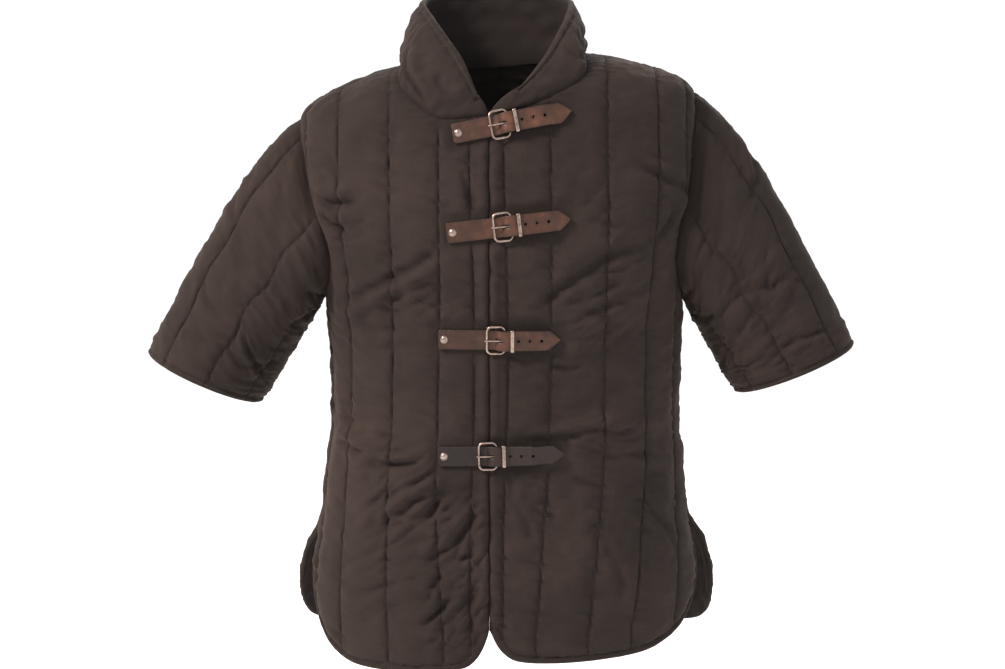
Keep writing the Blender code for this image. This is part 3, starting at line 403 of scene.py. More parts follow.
# Creases and patches of small folds on the fronts by x and height in mm, and on the back by turn and height.
frontCreases = creaseTable(1000, 1000, (
    (65, 60, 55, -70, -226, -110, -256, -144, -273, -176, -292, -208, -309),
    (35, 45, 50, -86, -268, -118, -287, -150, -300),
    (70, 55, 60, -232, -166, -213, -179, -190, -178, -168, -172),
    (50, 48, 50, -222, -190, -205, -208, -183, -219), (30, 40, 40, -236, -128, -222, -146, -212, -162),
    (34, 40, 50, -205, -482, -186, -490, -165, -495), (36, 42, 50, -166, -500, -135, -505, -100, -502),
    (52, 50, 60, -74, -504, -105, -524, -143, -547, -182, -566),
    (40, 45, 50, -90, -530, -118, -563, -158, -588), (30, 36, 50, -76, -545, -100, -573),
    (52, 44, 60, -27, -556, -44, -580, -62, -601), (28, 34, 50, -31, -611, -59, -625),
    (34, 38, 50, -31, -645, -49, -683), (34, 40, 50, -64, -668, -80, -690, -102, -709),
    (28, 36, 50, -29, -697, -59, -722), (34, 36, 50, -50, -132, -41, -164, -30, -198),
    (26, 50, 50, -120, -330, -150, -336, -185, -328), (24, 55, 50, -128, -655, -165, -668, -210, -660),
    (48, 52, 50, 160, -128, 201, -150, 240, -177), (50, 48, 50, 232, -150, 240, -176, 250, -200),
    (36, 46, 50, 214, -176, 204, -205, 188, -226), (60, 62, 55, 36, -310, 83, -272, 123, -245, 176, -226),
    (44, 52, 50, 70, -332, 108, -310, 139, -299, 194, -266), (28, 42, 50, 54, -377, 80, -381, 108, -377),
    (46, 50, 55, 36, -480, 75, -466, 115, -460, 174, -466), (28, 42, 50, 120, -498, 155, -492, 196, -497),
    (30, 36, 50, 16, -548, 30, -575, 36, -604), (42, 30, 60, -75, -546, -84, -557, -92, -569, -98, -575),
    (48, 30, 60, -41, -576, -48, -587, -58, -600, -63, -607), (34, 26, 60, -30, -551, -36, -559, -42, -569),
    (34, 30, 60, -108, -546, -119, -559, -138, -569, -151, -584),
    (32, 28, 60, -65, -609, -80, -615, -96, -628), (30, 26, 60, -34, -617, -46, -620, -55, -625),
    (34, 30, 60, -72, -635, -83, -650, -94, -671, -99, -684),
    (36, 30, 60, -64, -673, -76, -686, -92, -700, -103, -714), (30, 28, 60, -46, -675, -55, -689, -67, -704),
    (38, 30, 60, -26, -649, -32, -664, -42, -680, -49, -692), (32, 28, 60, -24, -676, -32, -691, -46, -708),
    (28, 28, 60, -75, -715, -84, -725, -94, -732), (30, 28, 60, -115, -561, -127, -579, -140, -586),
    (20, 30, 60, -157, -629, -145, -625, -133, -628),
    (30, 32, 60, -183, -501, -157, -510, -124, -503, -92, -498),
    (26, 30, 60, -168, -462, -139, -471, -123, -473), (26, 28, 60, -206, -450, -187, -456, -180, -457),
    (26, 28, 60, -191, -487, -180, -490, -171, -496), (22, 34, 60, -1, -471, 44, -476, 71, -467, 120, -460),
    (18, 34, 60, 85, -517, 109, -530, 129, -534), (20, 34, 60, 5, -507, 12, -530, 10, -556),
    (16, 34, 60, 51, -542, 60, -560, 63, -583), (30, 48, 50, 126, -600, 146, -640, 150, -676),
    (34, 50, 50, 180, -560, 205, -590, 224, -636),
))
frontPatches = patchTable(1000, 1000, (
    (-110, -565, 70, 75, 38, 20, 42), (-48, -600, 40, 75, 52, 17, 44), (-60, -690, 50, 55, 48, 17, 36),
    (-160, -660, 55, 50, 20, 24, 24), (-150, -300, 75, 45, 18, 21, 36), (-90, -300, 40, 45, 30, 18, 30),
    (-200, -195, 45, 35, 10, 19, 46), (-150, -490, 70, 30, -6, 18, 32), (-190, -430, 40, 60, 10, 20, 22),
    (-120, -400, 70, 60, 8, 28, 16), (-110, -130, 80, 60, 70, 30, 14), (120, -265, 90, 40, 32, 21, 36),
    (215, -185, 45, 40, -40, 18, 42), (120, -330, 70, 40, 24, 20, 28), (110, -470, 95, 28, 6, 19, 32),
    (185, -530, 45, 60, -30, 22, 28), (70, -560, 55, 80, 72, 24, 22), (130, -650, 70, 70, 80, 26, 22),
    (60, -390, 40, 50, 4, 22, 18), (110, -150, 80, 60, 64, 30, 14),
))
backPatches = patchTable(1, 1000, (
    (120, -215, 50, 40, -30, 19, 42), (240, -215, 50, 40, 32, 19, 42), (130, -320, 80, 45, -14, 22, 32),
    (228, -335, 80, 45, 16, 22, 32), (140, -450, 110, 36, -4, 20, 36), (214, -466, 110, 36, 5, 20, 36),
    (180, -400, 60, 50, 3, 26, 20), (125, -600, 60, 80, -66, 24, 26), (236, -610, 60, 80, 64, 24, 26),
    (180, -640, 80, 80, 84, 28, 20), (180, -110, 110, 50, 4, 28, 18), (158, -230, 60, 60, 78, 30, 14),
))
backCreases = creaseTable(1, 1000, (
    (50, 55, 50, 112, -200, 122, -222, 136, -232), (52, 55, 50, 248, -196, 238, -220, 222, -236),
    (42, 55, 50, 110, -300, 126, -318, 150, -310), (44, 55, 50, 246, -318, 228, -332, 206, -318),
    (56, 62, 55, 106, -430, 130, -447, 158, -438, 182, -449), (52, 58, 55, 254, -444, 232, -462, 204, -452),
    (36, 52, 50, 118, -486, 140, -497, 168, -486), (34, 52, 50, 238, -500, 214, -512, 192, -500),
    (36, 55, 50, 112, -560, 124, -598, 130, -640), (36, 55, 50, 244, -566, 234, -604, 230, -650),
    (28, 50, 50, 170, -560, 176, -606, 174, -650), (32, 60, 50, 150, -80, 168, -92, 192, -90, 210, -78),
))


def lineTable(lines):
    # turn of each quilting line over the drawing's rows; they stay upright up to the shoulder
    top = cloth["uprightFrom"]
    high = drawingRows > top
    widths = drawingWidth[high] * 0.998
    table = []
    for line in lines:
        turns = smoothCurve(fronts["lineHeights"], line, drawingRows)
        behind = line[0] > 90
        facing = 180 - turns if behind else turns    # as seen from the side that it is on
        first = np.interp(top, drawingRows, facing)
        x = skin(np.array([first]), np.array([top]), False)[0, 0]
        inside = turnAt(np.clip(np.full(len(widths), x), -widths, widths), drawingRows[high])
        facing[high] = inside + math.copysign(1, x) * np.clip(abs(x) - widths, 0, 1) * 400
        table.append(180 - facing if behind else facing)
    return np.array(table)


def lineTurns(lines, z):
    return np.stack([np.interp(z, drawingRows, line) for line in lines], axis=-1)


def channelPlace(turn, z, lines):
    # share across the padded channel, distance to its nearer line, and which line that is
    order = np.sort(lineTurns(lines, z), axis=-1)
    first = order[..., :1] - (order[..., 1:2] - order[..., :1])
    last = order[..., -1:] + (order[..., -1:] - order[..., -2:-1])
    order = np.concatenate([first, order, last], axis=-1)
    k = np.clip((order <= turn[..., None]).sum(-1) - 1, 0, order.shape[-1] - 2)
    low = np.take_along_axis(order, k[..., None], -1)[..., 0]
    high = np.take_along_axis(order, k[..., None] + 1, -1)[..., 0]
    share = np.clip((turn - low) / (high - low), 0, 1)
    width = np.radians(high - low) * 0.235
    nearer = np.where(share < 0.5, share, 1 - share) * width
    return share, nearer, np.where(share < 0.5, k, k + 1)


def padProfile(share):
    # a full, rounded channel that falls steeply to its stitches
    return (1 - np.abs(2 * share - 1) ** 2.4) ** 0.62


def quiltRelief(here, share, nearer, line, seed):
    # padding, stitches and the small wrinkles of one quilted cloth; here is its place on the flat cloth
    rise = cloth["quiltRise"] * padProfile(share)
    bite = -cloth["stitchBite"] * np.exp(-(nearer / cloth["biteWidth"]) ** 2)
    lean = np.where(share < 0.5, 1.0, -1.0) * nearer * 0.35
    shifted = np.stack([line * 0.37, here[:, 1] + lean], axis=1)
    drawn = wrinkles(shifted, seed, 0.5, 0.016) + 0.6 * wrinkles(shifted, seed + 1, 0.5, 0.0085)
    reach = np.exp(-(nearer / cloth["puckerReach"])) * (1 - np.exp(-(nearer / 0.0016) ** 2))
    rise += cloth["pucker"] * drawn * reach * 1.5
    padding = padProfile(share)
    rise += cloth["slack"] * padding * wrinkles(here, seed + 2, 0.055, 0.042)
    rise += cloth["slack"] * 0.55 * padding * wrinkles(here, seed + 3, 0.030, 0.013)
    return rise, bite


def foldRise(turn, z):
    here = toDrawing(turn, z)
    total = np.zeros(len(here))
    for turn0, z0, turn1, z1, width, rise in folds:
        a = toDrawing(np.array([turn0]), np.array([z0]))[0]
        b = toDrawing(np.array([turn1]), np.array([z1]))[0]
        along = np.clip((here - a) @ (b - a) / ((b - a) @ (b - a)), 0, 1)
        off = np.linalg.norm(here - a - along[:, None] * (b - a), axis=1)
        total += rise * np.exp(-((off / width * 1.6) ** 2)) * np.sin(math.pi * (0.12 + 0.76 * along))
    return total


def heldDown(x, level):
    # 1 away from the closures, 0 where a strap lies on the padding
    free = np.ones(len(x))
    for barX, height, slant, behind, past in (row[:5] for row in closures["rows"]):
        c, s = math.cos(math.radians(slant)), math.sin(math.radians(slant))
        along = (x - barX) * c + (level - height) * s
        across = -(x - barX) * s + (level - height) * c
        off = np.maximum(np.maximum(-behind - along, along - past), np.abs(across) - closures["width"] / 2 - 0.003)
        free = np.minimum(free, rising(off, 0.016))
    return softStep(free)


def neckSamples(side, count):
    samples = splineRows(fronts["neckLeft"] if side > 0 else fronts["neckRight"], count)
    samples[:, 0] *= side
    top = samples[0, 1]
    start = turnAt(body["closingX"] + side * body["closingGap"] / 2, np.array([top]))[0]
    samples = samples[side * samples[:, 0] > side * start + 3]
    return np.concatenate([[[start, top]], samples])


def frontRuns(side):
    # edge of one front as (turned or seamed, places), from the neck down its closing edge and round
    edgeX = body["closingX"] + side * body["closingGap"] / 2
    neck = neckSamples(side, 60)
    heights = np.linspace(neck[0, 1], -0.7125, 22)
    closing = np.stack([turnAt(edgeX, heights), heights], axis=1)
    hem = splineRows(fronts["hem"], 110)
    hem[:, 1] += side * fronts["hemSlope"] * np.clip(-(hem[:, 1] + 0.66) / 0.1, 0, 1)
    hem[:, 0] = side * hem[:, 0] + closing[-1, 0] * (1 - hem[:, 0] / 90)
    backOff = 90 - math.degrees(body["seamGap"] / 2 / 0.13)
    seam = np.stack([np.full(30, side * backOff), np.linspace(-0.590, -0.302, 30)], axis=1)
    armhole = splineRows(fronts["armhole"], 70)[::-1][1:-1]
    armhole[:, 0] *= side
    shoulder = np.stack([np.full(24, side * backOff), np.linspace(-0.059, 0.0, 24)], axis=1)
    return (("closing", closing), ("hem", hem[:-1]), ("seam", np.concatenate([seam, armhole, shoulder, neck[::-1][1:]])))


def backRuns():
    gap = math.degrees(body["seamGap"] / 2 / 0.11)
    hem = splineRows(back["hem"], 100)
    hem[0, 0] += gap
    seam = np.stack([np.full(29, 90 + gap), np.linspace(-0.302, -0.590, 30)[:-1]], axis=1)
    armhole = splineRows(back["armhole"], 70)[1:-1]
    shoulder = np.stack([np.full(24, 90 + gap), np.linspace(0.0, -0.059, 24)], axis=1)
    neck = splineRows(back["neck"], 40)[::-1][:-1]
    seams = np.concatenate([neck, shoulder, armhole, seam])

    def mirrored(run):
        other = run.copy()
        other[:, 0] = 360 - other[:, 0]
        beside = np.clip((other[:, 0] - 180) / 60, 0, 1)
        other[:, 1] += back["rightFlapRise"] * beside * np.clip(1 - np.abs(other[:, 1] + 0.725) / 0.08, 0, 1)
        return other[::-1]

    return (("seam", seams), ("hem", hem), ("hem", mirrored(hem[:-1])), ("seam", mirrored(seams[1:])))


def readRows(at, places, table):
    # rows of a table read between its places
    return np.stack([np.interp(at, places, column) for column in table.T], axis=-1)


def resampled(path, step):
    lengths = np.concatenate([[0], np.cumsum(np.linalg.norm(np.diff(path, axis=0), axis=1))])
    return readRows(np.linspace(0, lengths[-1], max(2, int(lengths[-1] / step) + 1)), lengths, path)


def edgeRings(outline, rings, step):
    # points beside the edge of a drawing, at each distance inside it
    area = 0.5 * np.sum(outline[:, 0] * np.roll(outline[:, 1], -1) - np.roll(outline[:, 0], -1) * outline[:, 1])
    loop = resampled(np.concatenate([outline, outline[:1]]), step)[:-1]
    run = unit(np.roll(loop, -1, axis=0) - np.roll(loop, 1, axis=0))
    inward = np.stack([-run[:, 1], run[:, 0]], axis=1) * (1 if area > 0 else -1)
    found = []
    for ring in rings:
        spots = loop + inward * ring
        spots = spots[insideOf(spots, outline)]
        found.append(spots[pathDistance(spots, outline, True) > 0.93 * ring])
    return np.concatenate(found)


def lattice(outline, lines, lowTurn, highTurn):
    rows = np.arange(outline[:, 1].min() + 0.004, outline[:, 1].max(), cloth["rowStep"])
    _, heights = fromDrawing(np.stack([np.zeros(len(rows)), rows], axis=1))
    shares = np.array(cloth["acrossChannel"])
    found = []
    for k, z in enumerate(heights):
        at = np.concatenate([[lowTurn], np.clip(np.sort(lineTurns(lines, z)), lowTurn, highTurn), [highTurn]])
        between = (at[:-1, None] + np.diff(at)[:, None] * shares[None]).ravel()
        found.append(toDrawing(between, np.full(len(between), z)))
    found = np.concatenate(found)
    found = found[insideOf(found, outline)]
    return found[pathDistance(found, outline, True) > 0.0132]


def unbroken(good):
    # runs of three or more places in a row that are good
    found, start = [], None
    for k, fine in enumerate(list(good) + [False]):
        if fine and start is None:
            start = k
        elif not fine and start is not None:
            if k - start > 2:
                found.append(np.arange(start, k))
            start = None
    return found


def turnedEdge(distance):
    # how full a turned edge is: little at its very edge, 1 where the wall has its whole thickness
    return 0.12 + 0.88 * np.sqrt(np.clip(1 - (1 - rising(distance, 0.0048)) ** 2, 0, 1))


def seamValley(away, pull, depth, reach):
    # how a seam draws the cloth in, with the small wrinkles that its thread pulls up beside it
    drawn = depth * pull * np.exp(-away / reach) * (1 - np.exp(-(away / 0.003) ** 2))
    return drawn - cloth["seamDepth"] * np.exp(-(away / cloth["seamReach"]) ** 1.4)


def turnedHem(away, line, pull, roll, bite, reach):
    # the rolled edge of a turned hem, the stitches that hold it and the wrinkles beside them
    rolled = roll * np.sin(math.pi * rising(away, line)) * (away < line)
    stitched = bite * cloth["stitchBite"] * np.exp(-((away - line) / cloth["biteWidth"]) ** 2)
    return rolled - stitched + 0.0006 * pull * np.exp(-np.abs(away - line) / reach)


def crownOf(outer):
    # how far a place stands up between the stitches; the material darkens the low places with it as painted shade and
    # pales the crowns as wear and dust
    return {"crown": np.clip(outer / cloth["quiltRise"], -0.6, 1.2)}


def panelReliefs(drawing, runs, lines, creases, patches, behind, seed):
    # outer and inner height over the plain outside, at each point of a panel's drawing
    turn, z = fromDrawing(drawing)
    places = skin(turn, z, behind)
    free = np.ones(len(turn)) if behind else heldDown(places[:, 0], places[:, 2])
    away = {kind: np.full(len(drawing), 1.0) for kind in ("seam", "hem", "closing")}
    for kind, run in runs:
        away[kind] = np.minimum(away[kind], pathDistance(drawing, run))
    toSeam, toHem, toClosing = away.values()
    share, nearer, line = channelPlace(turn, z, lines)
    rise, bite = quiltRelief(drawing, share, nearer, line, seed)
    fade = rising(toSeam, 0.028, 0.8) * rising(toHem - cloth["hemLine"], 0.012, 0.6)
    small = crumpled(drawing, patches, seed + 100) * (0.35 + 0.65 * rising(nearer, 0.004))
    outer = rise * fade * (0.05 + 0.95 * free) + bite * rising(toHem, 0.004)
    outer += (creaseRelief(drawing, creases) + small) * fade * free
    outer += seamValley(toSeam, wrinkles(drawing[:, ::-1], seed + 5, 0.012, 0.5), 0.0007, 0.010)
    outer += turnedHem(toHem, cloth["hemLine"], wrinkles(drawing, seed + 7, 0.013, 0.013), 0.00108, 0.8, 0.007)
    outer += 0.0016 * np.sin(math.pi * rising(toClosing, 0.012)) * (toClosing < 0.012) * free
    inner = -body["wall"] + 0.0006 * wrinkles(drawing, seed + 9, 0.05, 0.03)
    inner -= 0.0008 * np.clip(1 - np.exp(-(nearer / 0.006) ** 2), 0, 1) * fade
    middle = 0.5 * (outer + inner)
    half = (outer - middle) * turnedEdge(np.minimum(toHem, toClosing))
    whole = foldRise(turn, z) * rising(np.minimum(np.minimum(toSeam, toHem), toClosing), 0.016, 0.6) * free
    if not behind:  # the fronts stand off a little beside the vents
        vent = cloth["ventFlare"]
        whole += vent[0] * np.exp(-((np.abs(turn) - 90) / vent[1]) ** 2) * np.exp(-((z - vent[2]) / vent[3]) ** 2)
    return places, outward(turn, z, behind), middle + half + whole, middle - half + whole, crownOf(middle + half)


def quiltedPanel(name, runs, lines, limits, creases, patches, behind, seed, materials):
    drawn = [(kind, resampled(toDrawing(*run.T), cloth["edgeStep"])) for kind, run in runs]
    outline = np.concatenate([run for _, run in drawn])
    gaps = np.linalg.norm(outline - np.roll(outline, 1, axis=0), axis=1)
    outline = outline[gaps > 0.0004]
    extra = np.concatenate([edgeRings(outline, cloth["edgeRings"], cloth["edgeStep"]),
                            lattice(outline, lines, *limits)])

    def surfaces(drawing):
        places, normals, outer, inner, crown = panelReliefs(drawing, drawn, lines, creases, patches, behind, seed)
        return places + normals * outer[:, None], places + normals * inner[:, None], crown

    piece = slabObject(name, [outline], extra, 1.0, surfaces, materials)
    print(name, "made with", len(piece.data.polygons), "faces")

    def seamPath(spots):
        # stitches on the finished cloth, and the way they face
        places, normals, outer, _, _ = panelReliefs(spots, drawn, lines, creases, patches, behind, seed)
        return places + normals * (outer + cloth["threadLift"])[:, None], normals

    stitched = []

    def stitchAlong(spots, nearest):
        good = insideOf(spots, outline) & (pathDistance(spots, outline, True) > nearest)
        stitched.extend(seamPath(spots[part]) for part in unbroken(good))

    for line in lines:
        z = np.arange(-0.775, 0.0, 0.004)
        stitchAlong(toDrawing(np.interp(z, drawingRows, line), z), 0.0045)
    for run in [run for kind, run in drawn if kind == "hem"]:
        loop = resampled(run, 0.004)
        ahead = unit(np.gradient(loop, axis=0))
        for sign in (1, -1):
            spots = loop + np.stack([-ahead[:, 1], ahead[:, 0]], axis=1) * cloth["hemLine"] * sign
            stitchAlong(spots, 0.9 * cloth["hemLine"])
    return piece, stitched


collar = {
    # rim on its outside: turn of the neckline below it, x, y, height
    "rim": ((-9, -0.0300, -0.1000, -0.0440), (-15, -0.0400, -0.0950, -0.0200), (-24, -0.0500, -0.0870, 0.0010),
            (-35, -0.0670, -0.0720, 0.0250), (-52, -0.0860, -0.0470, 0.0500), (-90, -0.1020, 0.0010, 0.0720),
            (-130, -0.0850, 0.0500, 0.0800), (-180, -0.0080, 0.0740, 0.0830), (-230, 0.0680, 0.0500, 0.0800),
            (-270, 0.0880, 0.0010, 0.0720), (-308, 0.0810, -0.0450, 0.0530), (-325, 0.0700, -0.0680, 0.0350),
            (-336, 0.0570, -0.0840, 0.0120), (-345, 0.0430, -0.0930, -0.0080), (-356, 0.0230, -0.1010, -0.0330)),
    "wall": 0.0075,
    "rimLine": 0.0075,   # stitches that hold the turned rim
    "padRise": 0.0024,
    "step": 0.0026,
    "height": 0.095,     # up its middle
    "fullness": 0.45,    # how far the collar bows out between neck and rim
    "endRings": (0, 0.0006, 0.0014, 0.0026, 0.0040, 0.0058),
    "rimRings": (0, 0.0005, 0.0013, 0.0024, 0.0038, 0.0056, 0.0068, 0.0075, 0.0082, 0.0096),
    # by length from the right end and height up the collar
    "creases": creaseTable(1000, 1000, (
        (46, 46, 55, 52, 10, 78, 20, 108, 26, 135, 24), (22, 42, 50, 30, 30, 52, 38, 74, 52),
        (24, 50, 50, 190, 12, 215, 30, 246, 40), (26, 50, 50, 330, 40, 365, 28, 395, 12),
        (30, 46, 50, 470, 24, 505, 20, 540, 28), (22, 40, 50, 560, 12, 575, 26, 584, 46),
    )),
}
sleeves = {
    # side, cuff centre, cuff half width, slant of the cuff line, lean from upright, fall of the sleeve head
    "right": (-1, (-0.3855, -0.012, -0.4090), 0.0790, 24.5, 31.0, 36.0),
    "left": (1, (0.3785, -0.012, -0.3970), 0.0815, 23.0, 31.5, 33.0),
    "cuffHalfDepth": 0.068,
    "channels": 8,
    "drift": 0.035,      # how far the lines wander round the arm from shoulder to cuff
    "length": 0.33,
    "girth": 0.48,
    "cuffRings": (0, 0.0005, 0.0013, 0.0024, 0.0038, 0.0056, 0.0074, 0.0088, 0.0095, 0.0102, 0.0116),
    "pull": 0.80,        # how long the sleeve keeps the way it leaves the armhole and enters the cuff
    # creases and patches by hundredths of the way round the arm and along it
    "creasesRight": creaseTable(100, 100, (
        (54, 52, 55, 43, 3, 35, 13, 28, 28), (46, 50, 50, 46, 12, 39, 26, 34, 44),
        (52, 48, 60, 27, 63, 33, 69, 41, 75), (30, 44, 50, 42, 60, 36, 69, 30, 80),
        (30, 48, 50, 3, 34, 10, 40, 19, 42), (26, 46, 50, 10, 62, 17, 66, 24, 63),
        (50, 52, 50, 58, 5, 66, 16, 73, 32), (40, 50, 50, 56, 40, 64, 47, 74, 50),
        (38, 50, 50, 60, 66, 70, 72, 80, 70),
    )),
    "patchesRight": patchTable(100, 100, (
        (36, 16, 60, 50, 125, 19, 44), (34, 70, 50, 45, 35, 19, 40), (20, 48, 50, 60, 80, 22, 22),
        (10, 20, 50, 50, 100, 24, 20), (68, 20, 60, 60, 60, 21, 40), (64, 52, 60, 50, 20, 20, 34),
        (76, 72, 60, 50, 10, 22, 28), (90, 40, 60, 60, 80, 26, 18), (16, 84, 50, 35, 20, 20, 22),
    )),
    "patchesLeft": patchTable(100, 100, (
        (35, 15, 60, 50, 125, 19, 44), (28, 48, 60, 45, 125, 20, 40), (18, 60, 50, 40, 140, 19, 36),
        (22, 84, 55, 35, 160, 19, 32), (10, 22, 50, 50, 80, 24, 20), (40, 72, 50, 40, 60, 19, 34),
        (68, 20, 60, 60, 60, 21, 40), (66, 45, 60, 50, 20, 20, 34), (78, 74, 60, 50, 12, 22, 28),
        (90, 42, 60, 60, 80, 26, 18),
    )),
    "creasesLeft": creaseTable(100, 100, (
        (54, 52, 55, 42, 3, 35, 12, 27, 24), (48, 50, 50, 45, 15, 38, 30, 30, 42),
        (46, 50, 55, 13, 64, 20, 57, 30, 38), (36, 46, 50, 11, 88, 18, 84, 29, 78),
        (34, 46, 50, 36, 56, 42, 64, 44, 76), (28, 48, 50, 4, 28, 10, 34, 17, 34),
        (50, 52, 50, 58, 4, 65, 15, 72, 28), (40, 50, 50, 57, 36, 66, 42, 76, 44),
        (36, 50, 50, 62, 70, 72, 66, 82, 72),
    )),
}
closures = {
    # x of the buckle's loose bar, height, slant, strap behind it, strap past it, twist of the tip, how much painted
    # shade darkens the strap
    "rows": ((-0.0140, -0.0840, 11.0, 0.048, 0.101, 0.0, 0.0), (-0.0105, -0.2060, 6.5, 0.058, 0.095, 0.0, 0.0),
             (-0.0190, -0.3435, 0.0, 0.060, 0.091, 0.0, 0.2), (-0.0290, -0.4910, 1.5, 0.051, 0.106, 0.0052, 0.9)),
    "width": 0.025,
}


def gridNormals(points, closed, centre):
    along = np.gradient(points, axis=0)
    roundIt = np.roll(points, -1, axis=1) - np.roll(points, 1, axis=1) if closed else np.gradient(points, axis=1)
    n = unit(np.cross(roundIt, along))
    return np.where((n * (points - centre)).sum(-1, keepdims=True) < 0, -n, n)


def fanned(first, normals, across, rows, reach):
    # wall direction that starts as the next panel's edge and turns to the piece's own
    start = normals[np.searchsorted(rows, 0.024)]
    ridge = (start * across).sum(-1, keepdims=True) > 0
    reach = np.where(ridge, 0.18, reach)
    share = np.clip(np.asarray(rows)[:, None, None] / reach, 0, 1)
    return unit(first * (1 - share) + normals * share)


def edgeShift(ring, normals, toward):
    across = unit(np.cross(np.gradient(ring, axis=0), normals))
    return np.where((across * toward).sum(-1, keepdims=True) < 0, across, -across)


def gradedShares(length, low, high, step):
    # shares of a length: fine near its ends and even between
    steps = np.concatenate([low, np.arange(low[-1] + step, length - high[-1] - step / 2, step),
                            length - np.array(high[::-1])])
    return steps / length


def closedEdge(outer, normals, fan, offset, innerOffset, distance):
    # outer and inner skins of a wall whose edge is turned over
    middle = 0.5 * (offset + innerOffset)[..., None]
    up = (offset - innerOffset)[..., None] / 2 * turnedEdge(distance)[..., None]
    top, low = middle + up, middle - up
    return outer + normals * np.maximum(top, 0) + fan * np.minimum(top, 0), outer + fan * low


def collarPiece(materials):
    left, right, rear = neckSamples(1, 120), neckSamples(-1, 120), splineRows(back["neck"], 90)
    turns, heights = np.concatenate([right, rear[1:] * (-1, 1), rear[-2:0:-1] - (360, 0), left[::-1] - (360, 0)]).T
    behind = np.abs(turns + 180) < 90
    base, bodyOut = skin(turns, heights, behind), outward(turns, heights, behind)
    table = np.array(collar["rim"][::-1])
    at = np.clip(turns, table[0, 0], table[-1, 0])
    at[0], at[-1] = table[-1, 0], table[0, 0]
    rim = smoothRows(table[:, 0], table[:, 1:], at)
    across = edgeShift(base, bodyOut, rim - base)
    base = base + across * body["seamGap"] * 2
    run = np.concatenate([[0], np.cumsum(np.linalg.norm(np.diff(0.5 * (base + rim), axis=0), axis=1))])
    u = gradedShares(run[-1], collar["endRings"], collar["endRings"], collar["step"]) * run[-1]
    base, bodyOut, rim, across = (readRows(u, run, item) for item in (base, bodyOut, rim, across))
    bodyOut, across = unit(bodyOut), unit(across)
    length = np.linalg.norm(rim - base, axis=1, keepdims=True)
    straight = 0.5 * (base + rim)
    full = base + unit(0.3 * across + 0.7 * np.array([0.0, 0.0, 1.0])) * length * 0.5
    middle = straight + (full - straight) * collar["fullness"]
    rows = gradedShares(collar["height"], cloth["seamRings"], collar["rimRings"], collar["step"])
    v = rows[:, None, None]
    outer = (1 - v) ** 2 * base + 2 * v * (1 - v) * middle + v * v * rim
    normals = gridNormals(outer, False, np.array([-0.010, 0.0, 0.02]))
    fan = fanned(bodyOut, normals, across, rows, 0.024)
    up = rows[:, None] * length[None, :, 0]
    toRim = length[None, :, 0] - up
    toEnd = np.minimum(u, u[-1] - u)[None, :] + 0 * up
    here = np.stack([np.broadcast_to(u, up.shape).ravel(), up.ravel()], axis=1)

    def uneven(places, seed, lengthU, lengthV):
        return wrinkles(places, seed, lengthU, lengthV).reshape(up.shape)

    fade = rising(up, 0.014, 0.6) * rising(toRim - collar["rimLine"], 0.012, 0.6) * rising(toEnd, 0.012, 0.6)
    soft = uneven(here, 61, 0.045, 0.030)
    offset = (collar["padRise"] + 0.0008 * soft + 0.0004 * uneven(here, 62, 0.016, 0.020)) * fade
    offset += creaseRelief(here, collar["creases"]).reshape(up.shape) * fade
    offset += seamValley(up, uneven(here[:, ::-1], 63, 0.5, 0.012), 0.0007, 0.010)
    offset += turnedHem(toRim, collar["rimLine"], uneven(here, 64, 0.012, 0.5), 0.0009, 1.0, 0.006)
    innerOffset = -collar["wall"] - 0.0012 * fade + 0.0005 * soft
    top, low = closedEdge(outer, normals, fan, offset, innerOffset, np.minimum(toRim, toEnd))
    piece = shellObject("collar_cloth", top, low, False, materials, u, rows * collar["height"], crownOf(offset))
    print("collar made with", len(piece.data.polygons), "faces")
    row, ends = np.argmin(np.abs(toRim[:, len(u) // 2] - collar["rimLine"])), slice(8, -8)
    return piece, [(top[row, ends] + normals[row, ends] * cloth["threadLift"], normals[row, ends])]


